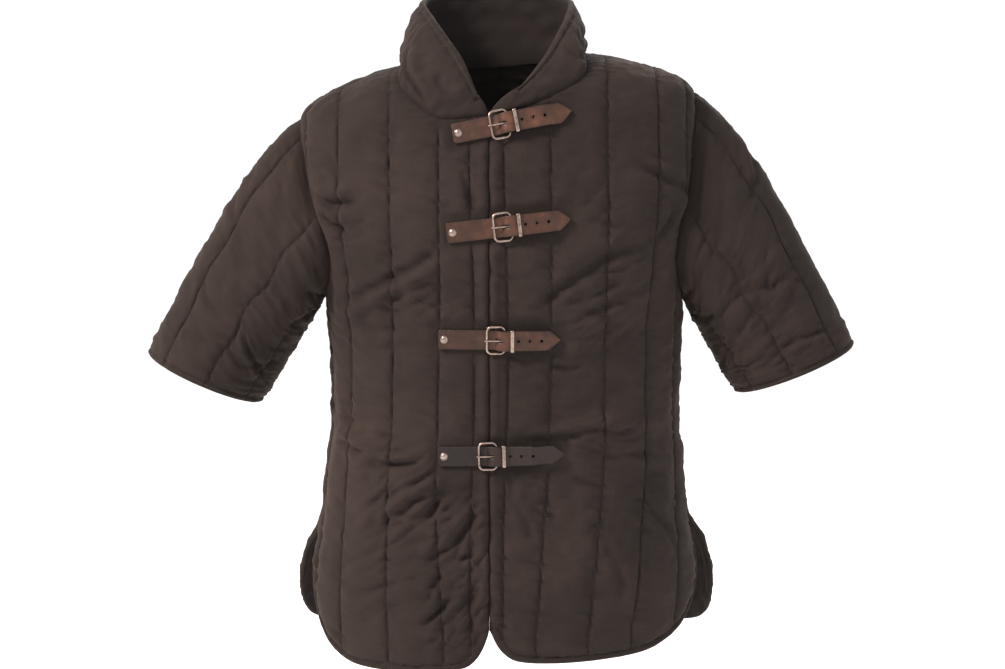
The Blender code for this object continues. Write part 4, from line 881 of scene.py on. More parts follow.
def sleevePiece(which, seed, materials):
    side, centre, halfWidth, slant, lean, fall = sleeves[which]
    share = np.arange(960) / 960
    ahead = share <= 0.5
    frontWay = splineAt(fronts["armhole"], np.clip(share * 2, 0, 1))
    backWay = splineAt(back["armhole"], np.clip(2 - 2 * share, 0, 1))
    turns, heights = np.where(ahead[:, None], frontWay, backWay).T
    base, bodyOut = skin(side * turns, heights, ~ahead), outward(side * turns, heights, ~ahead)
    doubled, doubledOut = (np.concatenate([item[-2:], item, item[:2]]) for item in (base, bodyOut))
    across = edgeShift(doubled, doubledOut, base.mean(axis=0) - doubled)[2:-2]
    base = base + across * body["seamGap"] * 2
    angle = 2 * math.pi * share
    c, s = np.cos(angle)[:, None], np.sin(angle)[:, None]
    line, down, head = math.radians(slant), math.radians(lean), math.radians(fall)
    widthWay = np.array([side * math.cos(line), 0.0, math.sin(line)])
    cuff = np.array(centre) + halfWidth * c * widthWay + sleeves["cuffHalfDepth"] * s * np.array([0.0, -1.0, 0.0])
    leave = np.array([side * math.sin(down), 0.0, -math.cos(down)])
    # the way the cloth leaves the armhole: over the top, under the arm, and at the front and back
    start = unit(np.clip(c, 0, 1) * np.array([side * math.cos(head), 0, -math.sin(head)])
                 + np.clip(-c, 0, 1) * np.array([side * 0.50, 0, -0.86])
                 + np.abs(s) * np.array([side * 0.74, 0, -0.56]) + s * np.array([0, -0.34, 0]))
    rows = gradedShares(sleeves["length"], cloth["seamRings"], sleeves["cuffRings"], cloth["rowStep"])
    count = sleeves["channels"]
    channel = (np.arange(count)[:, None] + np.array(cloth["acrossChannel"])[None]).ravel()
    wander = sleeves["drift"] * np.sin(2 * math.pi * channel / count)
    at = (channel / count)[None] + wander[None] * (rows[:, None] - 0.45)
    at = (at + 0.0055 * np.sin(rows[:, None] * 21 + seed + 1.3 * channel[None]) * np.sin(math.pi * rows[:, None])) % 1.0
    bases, outs, cuffs, starts, shifts = (readRows(at * 960, np.arange(961), np.concatenate([item, item[:1]]))
                                          for item in (base, bodyOut, cuff, start, across))
    length = np.linalg.norm(cuffs - bases, axis=-1, keepdims=True)
    t, keen = rows[:, None, None], length * sleeves["pull"]
    outer = ((2 * t ** 3 - 3 * t ** 2 + 1) * bases + (t ** 3 - 2 * t ** 2 + t) * unit(starts) * keen
             + (3 * t ** 2 - 2 * t ** 3) * cuffs + (t ** 3 - t ** 2) * leave * keen)
    normals = gridNormals(outer, True, outer.mean(axis=1, keepdims=True))
    steady = np.searchsorted(rows, 0.03)
    normals[:steady] = normals[steady]
    fan = fanned(unit(outs[0]), normals, unit(shifts[0]), rows, 0.012)
    girth = np.linalg.norm(np.roll(outer, -1, axis=1) - outer, axis=-1).sum(axis=1)
    part = (channel % 1.0)[None] + 0 * at
    nearer = np.minimum(part, 1 - part) * girth[:, None] / count
    lineOf = (np.round(channel).astype(int) % count)[None] + 0 * at.astype(int)
    flatU, flatV = channel / count * sleeves["girth"], rows * sleeves["length"]
    here = np.stack([item.ravel() for item in np.meshgrid(flatU, flatV)], axis=1)
    flat = np.stack([at.ravel() * sleeves["girth"], here[:, 1]], axis=1)

    def uneven(places, more, lengthU, lengthV):
        return wrinkles(places, seed + more, lengthU, lengthV).reshape(at.shape)

    rise, bite = (item.reshape(at.shape) for item in
                  quiltRelief(here, part.ravel(), nearer.ravel(), lineOf.ravel(), seed))
    toSeam, toCuff = rows[:, None] * length[..., 0], (1 - rows)[:, None] * length[..., 0]
    fade = rising(toSeam, 0.028, 0.8) * rising(toCuff - cloth["hemLine"], 0.012, 0.6)
    scale = np.array([sleeves["girth"], sleeves["length"]])
    creases, patches = ([(np.array(row[0]) * scale,) + row[1:] for row in sleeves[kind + which.capitalize()]]
                        for kind in ("creases", "patches"))
    small = (creaseRelief(flat, creases) + crumpled(flat, patches, seed + 100)).reshape(at.shape)
    offset = rise * fade + bite * rising(toCuff, 0.004) + small * fade * (0.35 + 0.65 * rising(nearer, 0.004))
    offset += seamValley(toSeam, uneven(flat[:, ::-1], 5, 0.5, 0.013), 0.0009, 0.014)
    offset += turnedHem(toCuff, cloth["hemLine"], uneven(flat, 7, 0.013, 0.5), 0.0011, 0.8, 0.007)
    innerOffset = -body["wall"] - 0.0008 * fade + 0.0005 * uneven(flat, 9, 0.05, 0.03)
    top, low = closedEdge(outer, normals, fan, offset, innerOffset, toCuff)
    piece = shellObject(f"sleeve_{which}_cloth", top, low, True, materials, np.append(flatU, sleeves["girth"]), flatV,
                        crownOf(offset))
    print(f"sleeve_{which} made with", len(piece.data.polygons), "faces")
    hemRow = np.argmin(np.abs(toCuff[:, 0] - cloth["hemLine"]))
    raised = top + normals * cloth["threadLift"]
    stitched = [(raised[5:hemRow, k], normals[5:hemRow, k]) for k in range(0, len(channel), len(channel) // count)]
    stitched.append(tuple(np.concatenate([item[hemRow], item[hemRow, :1]]) for item in (raised, normals)))
    return piece, stitched


def placeOnCloth(closure, points):
    # points of a closure, as along, across and lift, laid on the fronts
    barX, height, slant = closure[:3]
    c, s = math.cos(math.radians(slant)), math.sin(math.radians(slant))
    points = np.asarray(points, float)
    x = barX + points[..., 0] * c - points[..., 1] * s
    level = height + points[..., 0] * s + points[..., 1] * c
    turn, z = onFront(x, level)
    return skin(turn, z, False) + outward(turn, z, False) * (points[..., 2:3] + hardware["clothClearance"])


hardware = {
    "clothClearance": 0.0010,
    "strapThickness": 0.0026,
    "strapTip": 0.016,
    "holeRadius": 0.0018,
    "holeStep": 0.014,
    "holes": 3,
    "frameLength": 0.0215,
    "frameWidth": 0.0335,
    "frameCorner": 0.0058,
    "wire": 0.0015,           # half the thickness of the frame's wire
    "looseBarLift": 0.0048,
    "heelLift": 0.0043,
    "prongWire": 0.0011,
    "ply": 0.0015,            # leather of the folded loop that holds the buckle
    "chapeWidth": 0.022,
    "chapeLength": 0.044,
    "keeperAt": 0.0095,
    "keeperLift": 0.0040,
    "keeperBand": 0.0042,
    "rivetRadius": 0.0052,
    "rivetRise": 0.0023,
    "gap": 0.0003,
}


def strapLift(along):
    # height of the strap's underside over the cloth
    hw = hardware
    heel = hw["frameLength"]
    over = hw["heelLift"] + hw["wire"] + 2 * hw["prongWire"] + 3 * hw["gap"]
    rest = 2 * hw["ply"] + 4 * hw["gap"] + 0.0022
    keys = (-0.07, 0.0068, heel - 0.0036, heel + 0.001, heel + hw["keeperAt"] + 0.003, heel + 0.030,
            heel + hw["chapeLength"] - 0.001, heel + hw["chapeLength"] + 0.018, 0.13)
    lifts = (hw["gap"], hw["gap"], over - 0.0004, over, hw["keeperLift"] + 0.0030, rest, rest, hw["gap"], hw["gap"])
    return smoothCurve(keys, lifts, along)


def ringOf(x, y, radius, count):
    angle = np.arange(count) * 2 * math.pi / count
    return np.stack([x + radius * np.cos(angle), y + radius * np.sin(angle)], axis=1)


def leatherPoints(outline, holes, step):
    # fine near the cut edges and the holes, even between
    low, high = outline.min(axis=0), outline.max(axis=0)
    u, v = np.meshgrid(np.arange(low[0], high[0], step), np.arange(low[1], high[1], step))
    spots = np.stack([u.ravel() + 0.3 * step * (np.arange(u.size) % 2), v.ravel()], axis=1)
    spots = spots[insideOf(spots, outline)]
    away = pathDistance(spots, outline, True)
    for hole in holes:
        away = np.minimum(away, np.where(insideOf(spots, hole), -1, pathDistance(spots, hole, True)))
    found = [spots[away > 0.0018], edgeRings(outline, (0.0002, 0.0005, 0.0009, 0.0014), 0.0014)]
    for hole in holes:
        middle = hole.mean(axis=0)
        for grow in (0.0003, 0.0007, 0.0013):
            found.append(middle + (hole - middle) * (1 + grow / np.linalg.norm(hole - middle, axis=1))[:, None])
    return np.concatenate(found)


def cutLeather(drawing, outline, holes, thickness, seed):
    # lift of the grain side and the flesh side with burnished round edges, and how near a place is to a cut edge
    away = pathDistance(drawing, outline, True)
    for hole in holes:
        away = np.minimum(away, pathDistance(drawing, hole, True) + 0.0004)
    full = np.sqrt(np.clip(1 - (1 - rising(away, 0.0011)) ** 2, 0, 1))
    uneven = 0.00012 * wrinkles(drawing, seed, 0.012, 0.012)
    top = thickness * (0.5 + 0.5 * (0.15 + 0.85 * full)) + uneven * full
    return top, thickness * (0.5 - 0.5 * (0.35 + 0.65 * full)), np.exp(-away / 0.0016)


def strapPiece(number, closure, leather):
    hw = hardware
    behind, past, curl = closure[3:6]
    half = closures["width"] / 2
    corner = 0.0035
    tip = past - hw["strapTip"]
    bow = np.linspace(0, 1, 12)[1:]
    point = [(tip + hw["strapTip"] * (0.62 * f + 0.38 * f ** 2), -half * (1 - f ** 1.6)) for f in bow]
    arc = [(-behind + corner - corner * math.cos(a), -half + corner - corner * math.sin(a))
           for a in np.linspace(0, math.pi / 2, 7)]
    low = arc + [(f, -half) for f in np.linspace(-behind + 0.006, tip, 70)] + point
    outline = np.array(low + [(u, -v) for u, v in low[:-1][::-1]])
    slot = np.array([(0.0142 + (0.0044 + 0.0008 * math.cos(a)) * math.copysign(1, math.cos(a)) * min(1, abs(math.cos(a)) * 3),
                      0.0017 * math.sin(a)) for a in np.linspace(0, 2 * math.pi, 24, endpoint=False)])
    holes = [slot]
    for k in range(hw["holes"]):
        middle = hw["frameLength"] + 0.017 + hw["holeStep"] * k
        if middle < past - 0.014:
            holes.append(ringOf(middle, 0.0, hw["holeRadius"], 20))

    def surfaces(drawing):
        along, across = drawing[:, 0], drawing[:, 1]
        top, low, edge = cutLeather(drawing, outline, holes, hw["strapThickness"], 200 + number)
        twist = curl * np.clip((along - 0.040) / 0.03, 0, 1) * (across / half + 1)
        dome = 0.0004 * (1 - (across / half) ** 2) * np.clip((along - 0.035) / 0.02, 0, 1)
        lift = strapLift(along) + twist + dome
        bend = np.exp(-((along - 0.0035) / 0.004) ** 2) + np.exp(-((along - hw["frameLength"]) / 0.004) ** 2)
        # painted shade: the closure's last column, and more of it from the buckle back towards the rivet
        dark = np.clip(closure[6] + 0.30 * np.clip((0.015 - along) / 0.03, 0, 1), 0, 1)
        return (placeOnCloth(closure, np.stack([along, across, lift + top], axis=1)),
                placeOnCloth(closure, np.stack([along, across, lift + low], axis=1)),
                {"edge": edge, "bend": bend, "dark": dark})

    extra = leatherPoints(outline, holes, 0.0016)
    return slabObject(f"leather_strap_{number}", [outline] + holes, extra, 0.1, surfaces, [leather])


def chapePiece(number, closure, leather):
    # one strip folded round the heel bar: down along the cloth, round the bar and back on top
    hw = hardware
    bar, ply = np.array([hw["frameLength"], hw["heelLift"]]), hw["ply"]
    radius = hw["wire"] + hw["gap"] + ply / 2
    end = hw["frameLength"] + hw["chapeLength"]
    lowLift, topLift = hw["gap"] + ply / 2, hw["gap"] + 1.5 * ply + 0.0001
    under = [(x, lowLift) for x in np.linspace(end, bar[0] + 0.010, 14)]
    bow = [tuple(bar + radius * np.array([math.cos(a), math.sin(a)]))
           for a in np.radians(np.linspace(-95, -300, 22))]
    over = [(x, topLift) for x in np.linspace(bar[0] + 0.0105, end, 14)]
    route = np.array(under + bow + over)
    for _ in range(3):
        route[1:-1] = 0.25 * route[:-2] + 0.5 * route[1:-1] + 0.25 * route[2:]
    run = np.concatenate([[0], np.cumsum(np.linalg.norm(np.diff(route, axis=0), axis=1))])
    ahead = unit(np.gradient(route, run, axis=0))
    side = np.stack([ahead[:, 1], -ahead[:, 0]], axis=1)
    half, whole = hw["chapeWidth"] / 2, run[-1]
    outline = np.array([(x, -half) for x in np.linspace(0, whole, 60)] + [(x, half) for x in np.linspace(whole, 0, 60)])
    middle = run[14 + 11]
    slot = np.array([(middle + 0.0085 * np.sign(math.cos(a)) * abs(math.cos(a)) ** 0.4,
                      0.0020 * np.sign(math.sin(a)) * abs(math.sin(a)) ** 0.7)
                     for a in np.linspace(0, 2 * math.pi, 32, endpoint=False) + 0.05])

    def surfaces(drawing):
        along, across = drawing[:, 0], drawing[:, 1]
        top, low, edge = cutLeather(drawing, outline, [slot], ply, 220 + number)
        spot = np.stack([np.interp(along, run, route[:, k]) for k in range(2)], axis=1)
        way = unit(np.stack([np.interp(along, run, side[:, k]) for k in range(2)], axis=1))
        made = []
        for level in (top, low):
            moved = spot + way * (level - ply / 2)[:, None] * -1
            made.append(placeOnCloth(closure, np.stack([moved[:, 0], across, moved[:, 1]], axis=1)))
        bend = np.exp(-((along - middle) / 0.006) ** 2)
        # painted shade darkens the whole loop a little
        return made[0], made[1], {"edge": edge, "bend": bend, "dark": 0 * edge + 0.3}

    extra = leatherPoints(outline, [slot], 0.0016)
    return slabObject(f"leather_loop_{number}", [outline, slot], extra, 0.1, surfaces, [leather])


def wireTube(name, closure, path, radii, sides, closed, metal):
    # round wire along a path of along, across and lift
    path = np.asarray(path, float)
    run = np.roll(path, -1, axis=0) - np.roll(path, 1, axis=0) if closed else np.gradient(path, axis=0)
    run = unit(run)
    plane = unit(np.linalg.svd(path - path.mean(axis=0))[2][2])
    sideWay = unit(np.cross(run, plane))
    upWay = unit(np.cross(sideWay, run))
    angle = np.arange(sides) * 2 * math.pi / sides
    radii = np.broadcast_to(np.asarray(radii, float), (len(path),))
    rings = path[:, None] + radii[:, None, None] * (np.cos(angle)[None, :, None] * sideWay[:, None]
                                                    + np.sin(angle)[None, :, None] * upWay[:, None])
    points = placeOnCloth(closure, rings)
    count = len(path)
    faces = [(r * sides + c, r * sides + (c + 1) % sides, (r + 1) % count * sides + (c + 1) % sides,
              (r + 1) % count * sides + c) for r in range(count if closed else count - 1) for c in range(sides)]
    if not closed:
        faces += [tuple(range(sides))[::-1], tuple((count - 1) * sides + c for c in range(sides))]
    return addObject(name, points.reshape(-1, 3), faces, [metal])


def buckleFrame(number, closure, metal):
    hw = hardware
    length, width, corner = hw["frameLength"], hw["frameWidth"], hw["frameCorner"]
    corners = ((length - corner, width / 2 - corner, 0), (corner, width / 2 - corner, 90),
               (corner, -width / 2 + corner, 180), (length - corner, -width / 2 + corner, 270))
    loop = np.array([(x + corner * math.cos(math.radians(start + 90 * k / 9)),
                      y + corner * math.sin(math.radians(start + 90 * k / 9)))
                     for x, y, start in corners for k in range(10)])
    loop = resampled(np.concatenate([loop, loop[:1]]), 0.0012)[:-1]
    lift = hw["looseBarLift"] + (hw["heelLift"] - hw["looseBarLift"]) * loop[:, 0] / length
    return wireTube(f"buckle_frame_{number}_wire", closure, np.concatenate([loop, lift[:, None]], axis=1), hw["wire"],
                    16, True, metal)


def bucklePin(number, closure, metal):
    hw = hardware
    reach = hw["wire"] + hw["gap"] + hw["prongWire"]
    hook = [(hw["frameLength"] + reach * math.cos(a), hw["heelLift"] + reach * math.sin(a))
            for a in np.radians(np.arange(-150, 91, 12))]
    over = hw["looseBarLift"] + hw["wire"] + hw["gap"] + hw["prongWire"]
    shank = [(hw["frameLength"] * f - 0.0030 * (1 - f), (hw["heelLift"] + reach) * f + over * (1 - f))
             for f in np.linspace(0.92, 0, 16)]
    path = np.array([(x, 0.0, z) for x, z in hook + shank])
    radii = np.full(len(path), hw["prongWire"])
    radii[-9:] *= np.array([1, 0.99, 0.97, 0.94, 0.90, 0.86, 0.80, 0.70, 0.45])
    return wireTube(f"buckle_pin_{number}", closure, path, radii, 14, False, metal)


def keeperLoop(number, closure, metal):
    hw = hardware
    halfWidth = closures["width"] / 2 + 0.0012
    low, high = hw["keeperLift"] + 0.0005, hw["keeperLift"] + 0.0080
    corner, bow = 0.0015, 0.0003
    corners = ((halfWidth - corner, high - corner, 0), (-halfWidth + corner, high - corner, 90),
               (-halfWidth + corner, low + corner, 180), (halfWidth - corner, low + corner, 270))
    loop = np.array([(y + corner * math.cos(math.radians(start + 90 * k / 6)),
                      z + corner * math.sin(math.radians(start + 90 * k / 6)))
                     for y, z, start in corners for k in range(7)])
    loop = resampled(np.concatenate([loop, loop[:1]]), 0.0010)[:-1]
    loop[:, 1] += bow * (1 - (loop[:, 0] / halfWidth) ** 2) * (loop[:, 1] > (low + high) / 2)
    run = unit(np.roll(loop, -1, axis=0) - np.roll(loop, 1, axis=0))
    away = np.stack([run[:, 1], -run[:, 0]], axis=1)
    profile = np.array([(-1, 0), (-0.98, 0.55), (-0.86, 0.9), (-0.5, 1.06), (0, 1.12), (0.5, 1.06), (0.86, 0.9), (0.98, 0.55),
                        (1, 0), (0.98, -0.6), (0.8, -0.9), (0, -0.95), (-0.8, -0.9), (-0.98, -0.6)])
    at = hw["frameLength"] + hw["keeperAt"]
    spots = np.stack([np.broadcast_to(at + profile[None, :, 0] * hw["keeperBand"] / 2, (len(loop), len(profile))),
                      loop[:, None, 0] + away[:, None, 0] * profile[None, :, 1] * 0.0005,
                      loop[:, None, 1] + away[:, None, 1] * profile[None, :, 1] * 0.0005], axis=-1)
    points = placeOnCloth(closure, spots)
    sides, count = len(profile), len(loop)
    faces = [(r * sides + c, r * sides + (c + 1) % sides, (r + 1) % count * sides + (c + 1) % sides,
              (r + 1) % count * sides + c) for r in range(count) for c in range(sides)]
    return addObject(f"keeper_loop_{number}", points.reshape(-1, 3), faces, [metal])


def sRgb(code):
    # linear colour of an sRGB hex value
    parts = [int(code[k:k + 2], 16) / 255 for k in (1, 3, 5)]
    return tuple(p / 12.92 if p <= 0.04045 else ((p + 0.055) / 1.055) ** 2.4 for p in parts) + (1.0,)


def addNode(tree, kind, settings=(), values=(), links=()):
    node = tree.nodes.new(kind)
    for name, value in dict(settings).items():
        setattr(node, name, value)
    for name, value in dict(values).items():
        node.inputs[name].default_value = value
    for name, source in dict(links).items():
        tree.links.new(source, node.inputs[name])
    return node


def newMaterial(name):
    material = bpy.data.materials.new(name)
    material.use_nodes = True
    tree = material.node_tree
    return material, tree, tree.nodes["Principled BSDF"]


cottonLook = {
    "base": "#231b18", "light": "#2a211d", "dark": "#1d1613",
    "thread": 0.0013,     # real threads lie 0.5 mm apart, drawn coarser so that they show at all
    "roughness": 0.90, "sheen": 0.10,
}
# the inside faces take a darker, less sheeny copy of the cloth as painted shade inside the garment
liningInPaintedShadeLook = {**cottonLook, "base": "#1f1918", "light": "#241d1b", "dark": "#1a1514", "sheen": 0.05}


def cottonCanvas(name, look):
    # Dyed woven cotton: matt, a little fuzz at glancing angles, thread by thread shade and slubs along both threads,
    # and painted shade in its grooves.
    material, tree, shader = newMaterial(name)
    uv = addNode(tree, "ShaderNodeUVMap", {"uv_map": "clothMap"})
    solid = addNode(tree, "ShaderNodeTexCoord")
    crown = addNode(tree, "ShaderNodeAttribute", {"attribute_name": "crown"})
    cloud = addNode(tree, "ShaderNodeTexNoise", values={"Scale": 7.0, "Detail": 5.0, "Roughness": 0.6},
                    links={"Vector": solid.outputs["Object"]})
    bands = 2 * math.pi / (20 * look["thread"])
    warp = addNode(tree, "ShaderNodeTexWave", {"wave_type": "BANDS", "bands_direction": "X"},
                   {"Scale": bands, "Distortion": 0.8, "Detail": 2.0, "Detail Scale": 0.2}, {"Vector": uv.outputs[0]})
    weft = addNode(tree, "ShaderNodeTexWave", {"wave_type": "BANDS", "bands_direction": "Y"},
                   {"Scale": bands, "Distortion": 0.8, "Detail": 2.0, "Detail Scale": 0.2}, {"Vector": uv.outputs[0]})
    weave = addNode(tree, "ShaderNodeMath", {"operation": "MULTIPLY"},
                    links={0: warp.outputs["Fac"], 1: weft.outputs["Fac"]})
    longWay = addNode(tree, "ShaderNodeMapping", values={"Scale": (900.0, 60.0, 1.0)}, links={"Vector": uv.outputs[0]})
    wideWay = addNode(tree, "ShaderNodeMapping", values={"Scale": (60.0, 900.0, 1.0)}, links={"Vector": uv.outputs[0]})
    slubA = addNode(tree, "ShaderNodeTexNoise", values={"Scale": 1.0, "Detail": 3.0}, links={"Vector": longWay.outputs[0]})
    slubB = addNode(tree, "ShaderNodeTexNoise", values={"Scale": 1.0, "Detail": 3.0}, links={"Vector": wideWay.outputs[0]})
    slubs = addNode(tree, "ShaderNodeMath", {"operation": "ADD"}, links={0: slubA.outputs["Fac"], 1: slubB.outputs["Fac"]})
    shade = addNode(tree, "ShaderNodeValToRGB", links={"Fac": cloud.outputs["Fac"]})
    shade.color_ramp.elements[0].position, shade.color_ramp.elements[0].color = 0.30, sRgb(look["dark"])
    shade.color_ramp.elements[1].position, shade.color_ramp.elements[1].color = 0.72, sRgb(look["light"])
    middle = shade.color_ramp.elements.new(0.5)
    middle.color = sRgb(look["base"])
    threadShade = addNode(tree, "ShaderNodeMapRange", values={"From Min": 0.7, "From Max": 1.3, "To Min": 0.86, "To Max": 1.14},
                          links={"Value": slubs.outputs[0]})
    # painted shade darkens the stitched grooves, creases and seams; dust and rubbing pale the crowns a little
    paintedGrooveShadeAndCrownWear = addNode(tree, "ShaderNodeMapRange", values={"From Min": 0.0, "From Max": 1.0, "To Min": 0.80, "To Max": 1.04},
                         links={"Value": crown.outputs["Fac"]})
    both = addNode(tree, "ShaderNodeMath", {"operation": "MULTIPLY"},
                   links={0: threadShade.outputs[0], 1: paintedGrooveShadeAndCrownWear.outputs[0]})
    colour = addNode(tree, "ShaderNodeMix", {"data_type": "RGBA", "blend_type": "MULTIPLY"}, {"Factor": 1.0},
                     {6: shade.outputs[0], 7: both.outputs[0]})
    tree.links.new(colour.outputs[2], shader.inputs["Base Color"])
    shader.inputs["Roughness"].default_value = look["roughness"]
    shader.inputs["Sheen Weight"].default_value = look["sheen"]
    shader.inputs["Sheen Roughness"].default_value = 0.45
    shader.inputs["Sheen Tint"].default_value = sRgb("#b59a8c")
    shader.inputs["Specular IOR Level"].default_value = 0.25
    height = addNode(tree, "ShaderNodeMath", {"operation": "MULTIPLY_ADD"}, {1: 0.8},
                     {0: slubs.outputs[0], 2: weave.outputs[0]})
    bump = addNode(tree, "ShaderNodeBump", values={"Strength": 0.40, "Distance": 0.0004}, links={"Height": height.outputs[0]})
    tree.links.new(bump.outputs[0], shader.inputs["Normal"])
    return material


leatherLook = {
    "grain": "#40261a", "worn": "#5a3829", "dull": "#2f1c14", "edge": "#1a110d", "paintedShade": "#160d0a",
    "grainSize": 0.0011,     # real pores are finer, drawn as coarse as they need to show
    "roughness": (0.38, 0.62),
}


def brownLeather():
    # Vegetable-tanned strap leather: waxy, pebbled grain, pulled paler where it bends, dark burnished edges, and
    # painted shade mixed in by the dark attribute.
    look = leatherLook
    material, tree, shader = newMaterial("brown bridle leather")
    uv = addNode(tree, "ShaderNodeUVMap", {"uv_map": "clothMap"})
    solid = addNode(tree, "ShaderNodeTexCoord")
    edge = addNode(tree, "ShaderNodeAttribute", {"attribute_name": "edge"})
    bend = addNode(tree, "ShaderNodeAttribute", {"attribute_name": "bend"})
    patches = addNode(tree, "ShaderNodeTexNoise", values={"Scale": 45.0, "Detail": 5.0, "Roughness": 0.62},
                      links={"Vector": solid.outputs["Object"]})
    pebbles = addNode(tree, "ShaderNodeTexVoronoi", {"feature": "DISTANCE_TO_EDGE"}, {"Scale": 1 / look["grainSize"]},
                      {"Vector": uv.outputs[0]})
    stretched = addNode(tree, "ShaderNodeMapping", values={"Scale": (160.0, 1400.0, 1.0)}, links={"Vector": uv.outputs[0]})
    scratches = addNode(tree, "ShaderNodeTexNoise", values={"Scale": 1.0, "Detail": 4.0, "Roughness": 0.7},
                        links={"Vector": stretched.outputs[0]})
    tone = addNode(tree, "ShaderNodeValToRGB", links={"Fac": patches.outputs["Fac"]})
    tone.color_ramp.elements[0].position, tone.color_ramp.elements[0].color = 0.28, sRgb(look["dull"])
    tone.color_ramp.elements[1].position, tone.color_ramp.elements[1].color = 0.74, sRgb(look["worn"])
    middle = tone.color_ramp.elements.new(0.5)
    middle.color = sRgb(look["grain"])
    bent = addNode(tree, "ShaderNodeMath", {"operation": "MULTIPLY"}, {1: 0.35}, {0: bend.outputs["Fac"]})
    paler = addNode(tree, "ShaderNodeMix", {"data_type": "RGBA"}, {7: sRgb(look["worn"])},
                    {"Factor": bent.outputs[0], 6: tone.outputs[0]})
    # painted shade: the dark attribute mixes in the painted shade colour
    dark = addNode(tree, "ShaderNodeAttribute", {"attribute_name": "dark"})
    paintedShade = addNode(tree, "ShaderNodeMix", {"data_type": "RGBA"}, {7: sRgb(look["paintedShade"])},
                    {"Factor": dark.outputs["Fac"], 6: paler.outputs[2]})
    burnish = addNode(tree, "ShaderNodeMath", {"operation": "MULTIPLY"}, {1: 0.75}, {0: edge.outputs["Fac"]})
    colour = addNode(tree, "ShaderNodeMix", {"data_type": "RGBA"}, {7: sRgb(look["edge"])},
                     {"Factor": burnish.outputs[0], 6: paintedShade.outputs[2]})
    tree.links.new(colour.outputs[2], shader.inputs["Base Color"])
    gloss = addNode(tree, "ShaderNodeMapRange", values={"To Min": look["roughness"][0], "To Max": look["roughness"][1]},
                    links={"Value": scratches.outputs["Fac"]})
    tree.links.new(gloss.outputs[0], shader.inputs["Roughness"])
    shader.inputs["Specular IOR Level"].default_value = 0.30
    height = addNode(tree, "ShaderNodeMath", {"operation": "MULTIPLY_ADD"}, {1: 0.35},
                     {0: scratches.outputs["Fac"], 2: pebbles.outputs["Distance"]})
    bump = addNode(tree, "ShaderNodeBump", values={"Strength": 0.35, "Distance": 0.0003}, links={"Height": height.outputs[0]})
    tree.links.new(bump.outputs[0], shader.inputs["Normal"])
    return material


def nickelSteel():
    # Nickel-plated steel wire: bright, with polishing haze and faint brown tarnish that take the edge off reflections.
    material, tree, shader = newMaterial("nickel-plated steel")
    solid = addNode(tree, "ShaderNodeTexCoord")
    haze = addNode(tree, "ShaderNodeTexNoise", values={"Scale": 260.0, "Detail": 4.0, "Roughness": 0.65},
                   links={"Vector": solid.outputs["Object"]})
    tarnish = addNode(tree, "ShaderNodeValToRGB", links={"Fac": haze.outputs["Fac"]})
    tarnish.color_ramp.elements[0].position, tarnish.color_ramp.elements[0].color = 0.30, sRgb("#77655b")
    tarnish.color_ramp.elements[1].position, tarnish.color_ramp.elements[1].color = 0.62, sRgb("#a3938a")
    tree.links.new(tarnish.outputs[0], shader.inputs["Base Color"])
    shader.inputs["Metallic"].default_value = 1.0
    gloss = addNode(tree, "ShaderNodeMapRange", values={"To Min": 0.36, "To Max": 0.20}, links={"Value": haze.outputs["Fac"]})
    tree.links.new(gloss.outputs[0], shader.inputs["Roughness"])
    bump = addNode(tree, "ShaderNodeBump", values={"Strength": 0.08, "Distance": 0.0002}, links={"Height": haze.outputs["Fac"]})
    tree.links.new(bump.outputs[0], shader.inputs["Normal"])
    return material


def quiltingThread():
    # Waxed brown cotton thread: a shade paler than the cloth, each stitch a little different.
    material, tree, shader = newMaterial("waxed cotton thread")
    solid = addNode(tree, "ShaderNodeTexCoord")
    shade = addNode(tree, "ShaderNodeTexNoise", values={"Scale": 170.0, "Detail": 2.0}, links={"Vector": solid.outputs["Object"]})
    tone = addNode(tree, "ShaderNodeValToRGB", links={"Fac": shade.outputs["Fac"]})
    tone.color_ramp.elements[0].position, tone.color_ramp.elements[0].color = 0.3, sRgb("#2d2521")
    tone.color_ramp.elements[1].position, tone.color_ramp.elements[1].color = 0.7, sRgb("#3f352f")
    tree.links.new(tone.outputs[0], shader.inputs["Base Color"])
    shader.inputs["Roughness"].default_value = 0.7
    twist = addNode(tree, "ShaderNodeTexWave", {"wave_type": "BANDS", "bands_direction": "DIAGONAL"},
                    {"Scale": 900.0, "Distortion": 1.0}, {"Vector": solid.outputs["Object"]})
    bump = addNode(tree, "ShaderNodeBump", values={"Strength": 0.3, "Distance": 0.0002}, links={"Height": twist.outputs["Fac"]})
    tree.links.new(bump.outputs[0], shader.inputs["Normal"])
    return material


stitches = {"pitch": 0.0042, "length": 0.0027, "thickness": 0.0008, "seed": 5}


def nodeGroup(name, inputs):
    tree = bpy.data.node_groups.new(name, "GeometryNodeTree")
    tree.interface.new_socket("Geometry", in_out="INPUT", socket_type="NodeSocketGeometry")
    for label, kind in inputs:
        tree.interface.new_socket(label, in_out="INPUT", socket_type=kind)
    tree.interface.new_socket("Geometry", in_out="OUTPUT", socket_type="NodeSocketGeometry")
    return tree, addNode(tree, "NodeGroupInput"), addNode(tree, "NodeGroupOutput")


def grown(source, tree, values, name):
    # the mesh that the nodes make from the source object, as a plain object of its own
    modifier = source.modifiers.new("nodes", "NODES")
    modifier.node_group = tree
    for item in tree.interface.items_tree:
        if item.in_out == "INPUT" and item.name in values:
            modifier[item.identifier] = values[item.name]
    graph = bpy.context.evaluated_depsgraph_get()
    mesh = bpy.data.meshes.new_from_object(source.evaluated_get(graph))
    bpy.data.objects.remove(source)
    mesh.name = name
    piece = bpy.data.objects.new(name, mesh)
    bpy.context.scene.collection.objects.link(piece)
    return piece


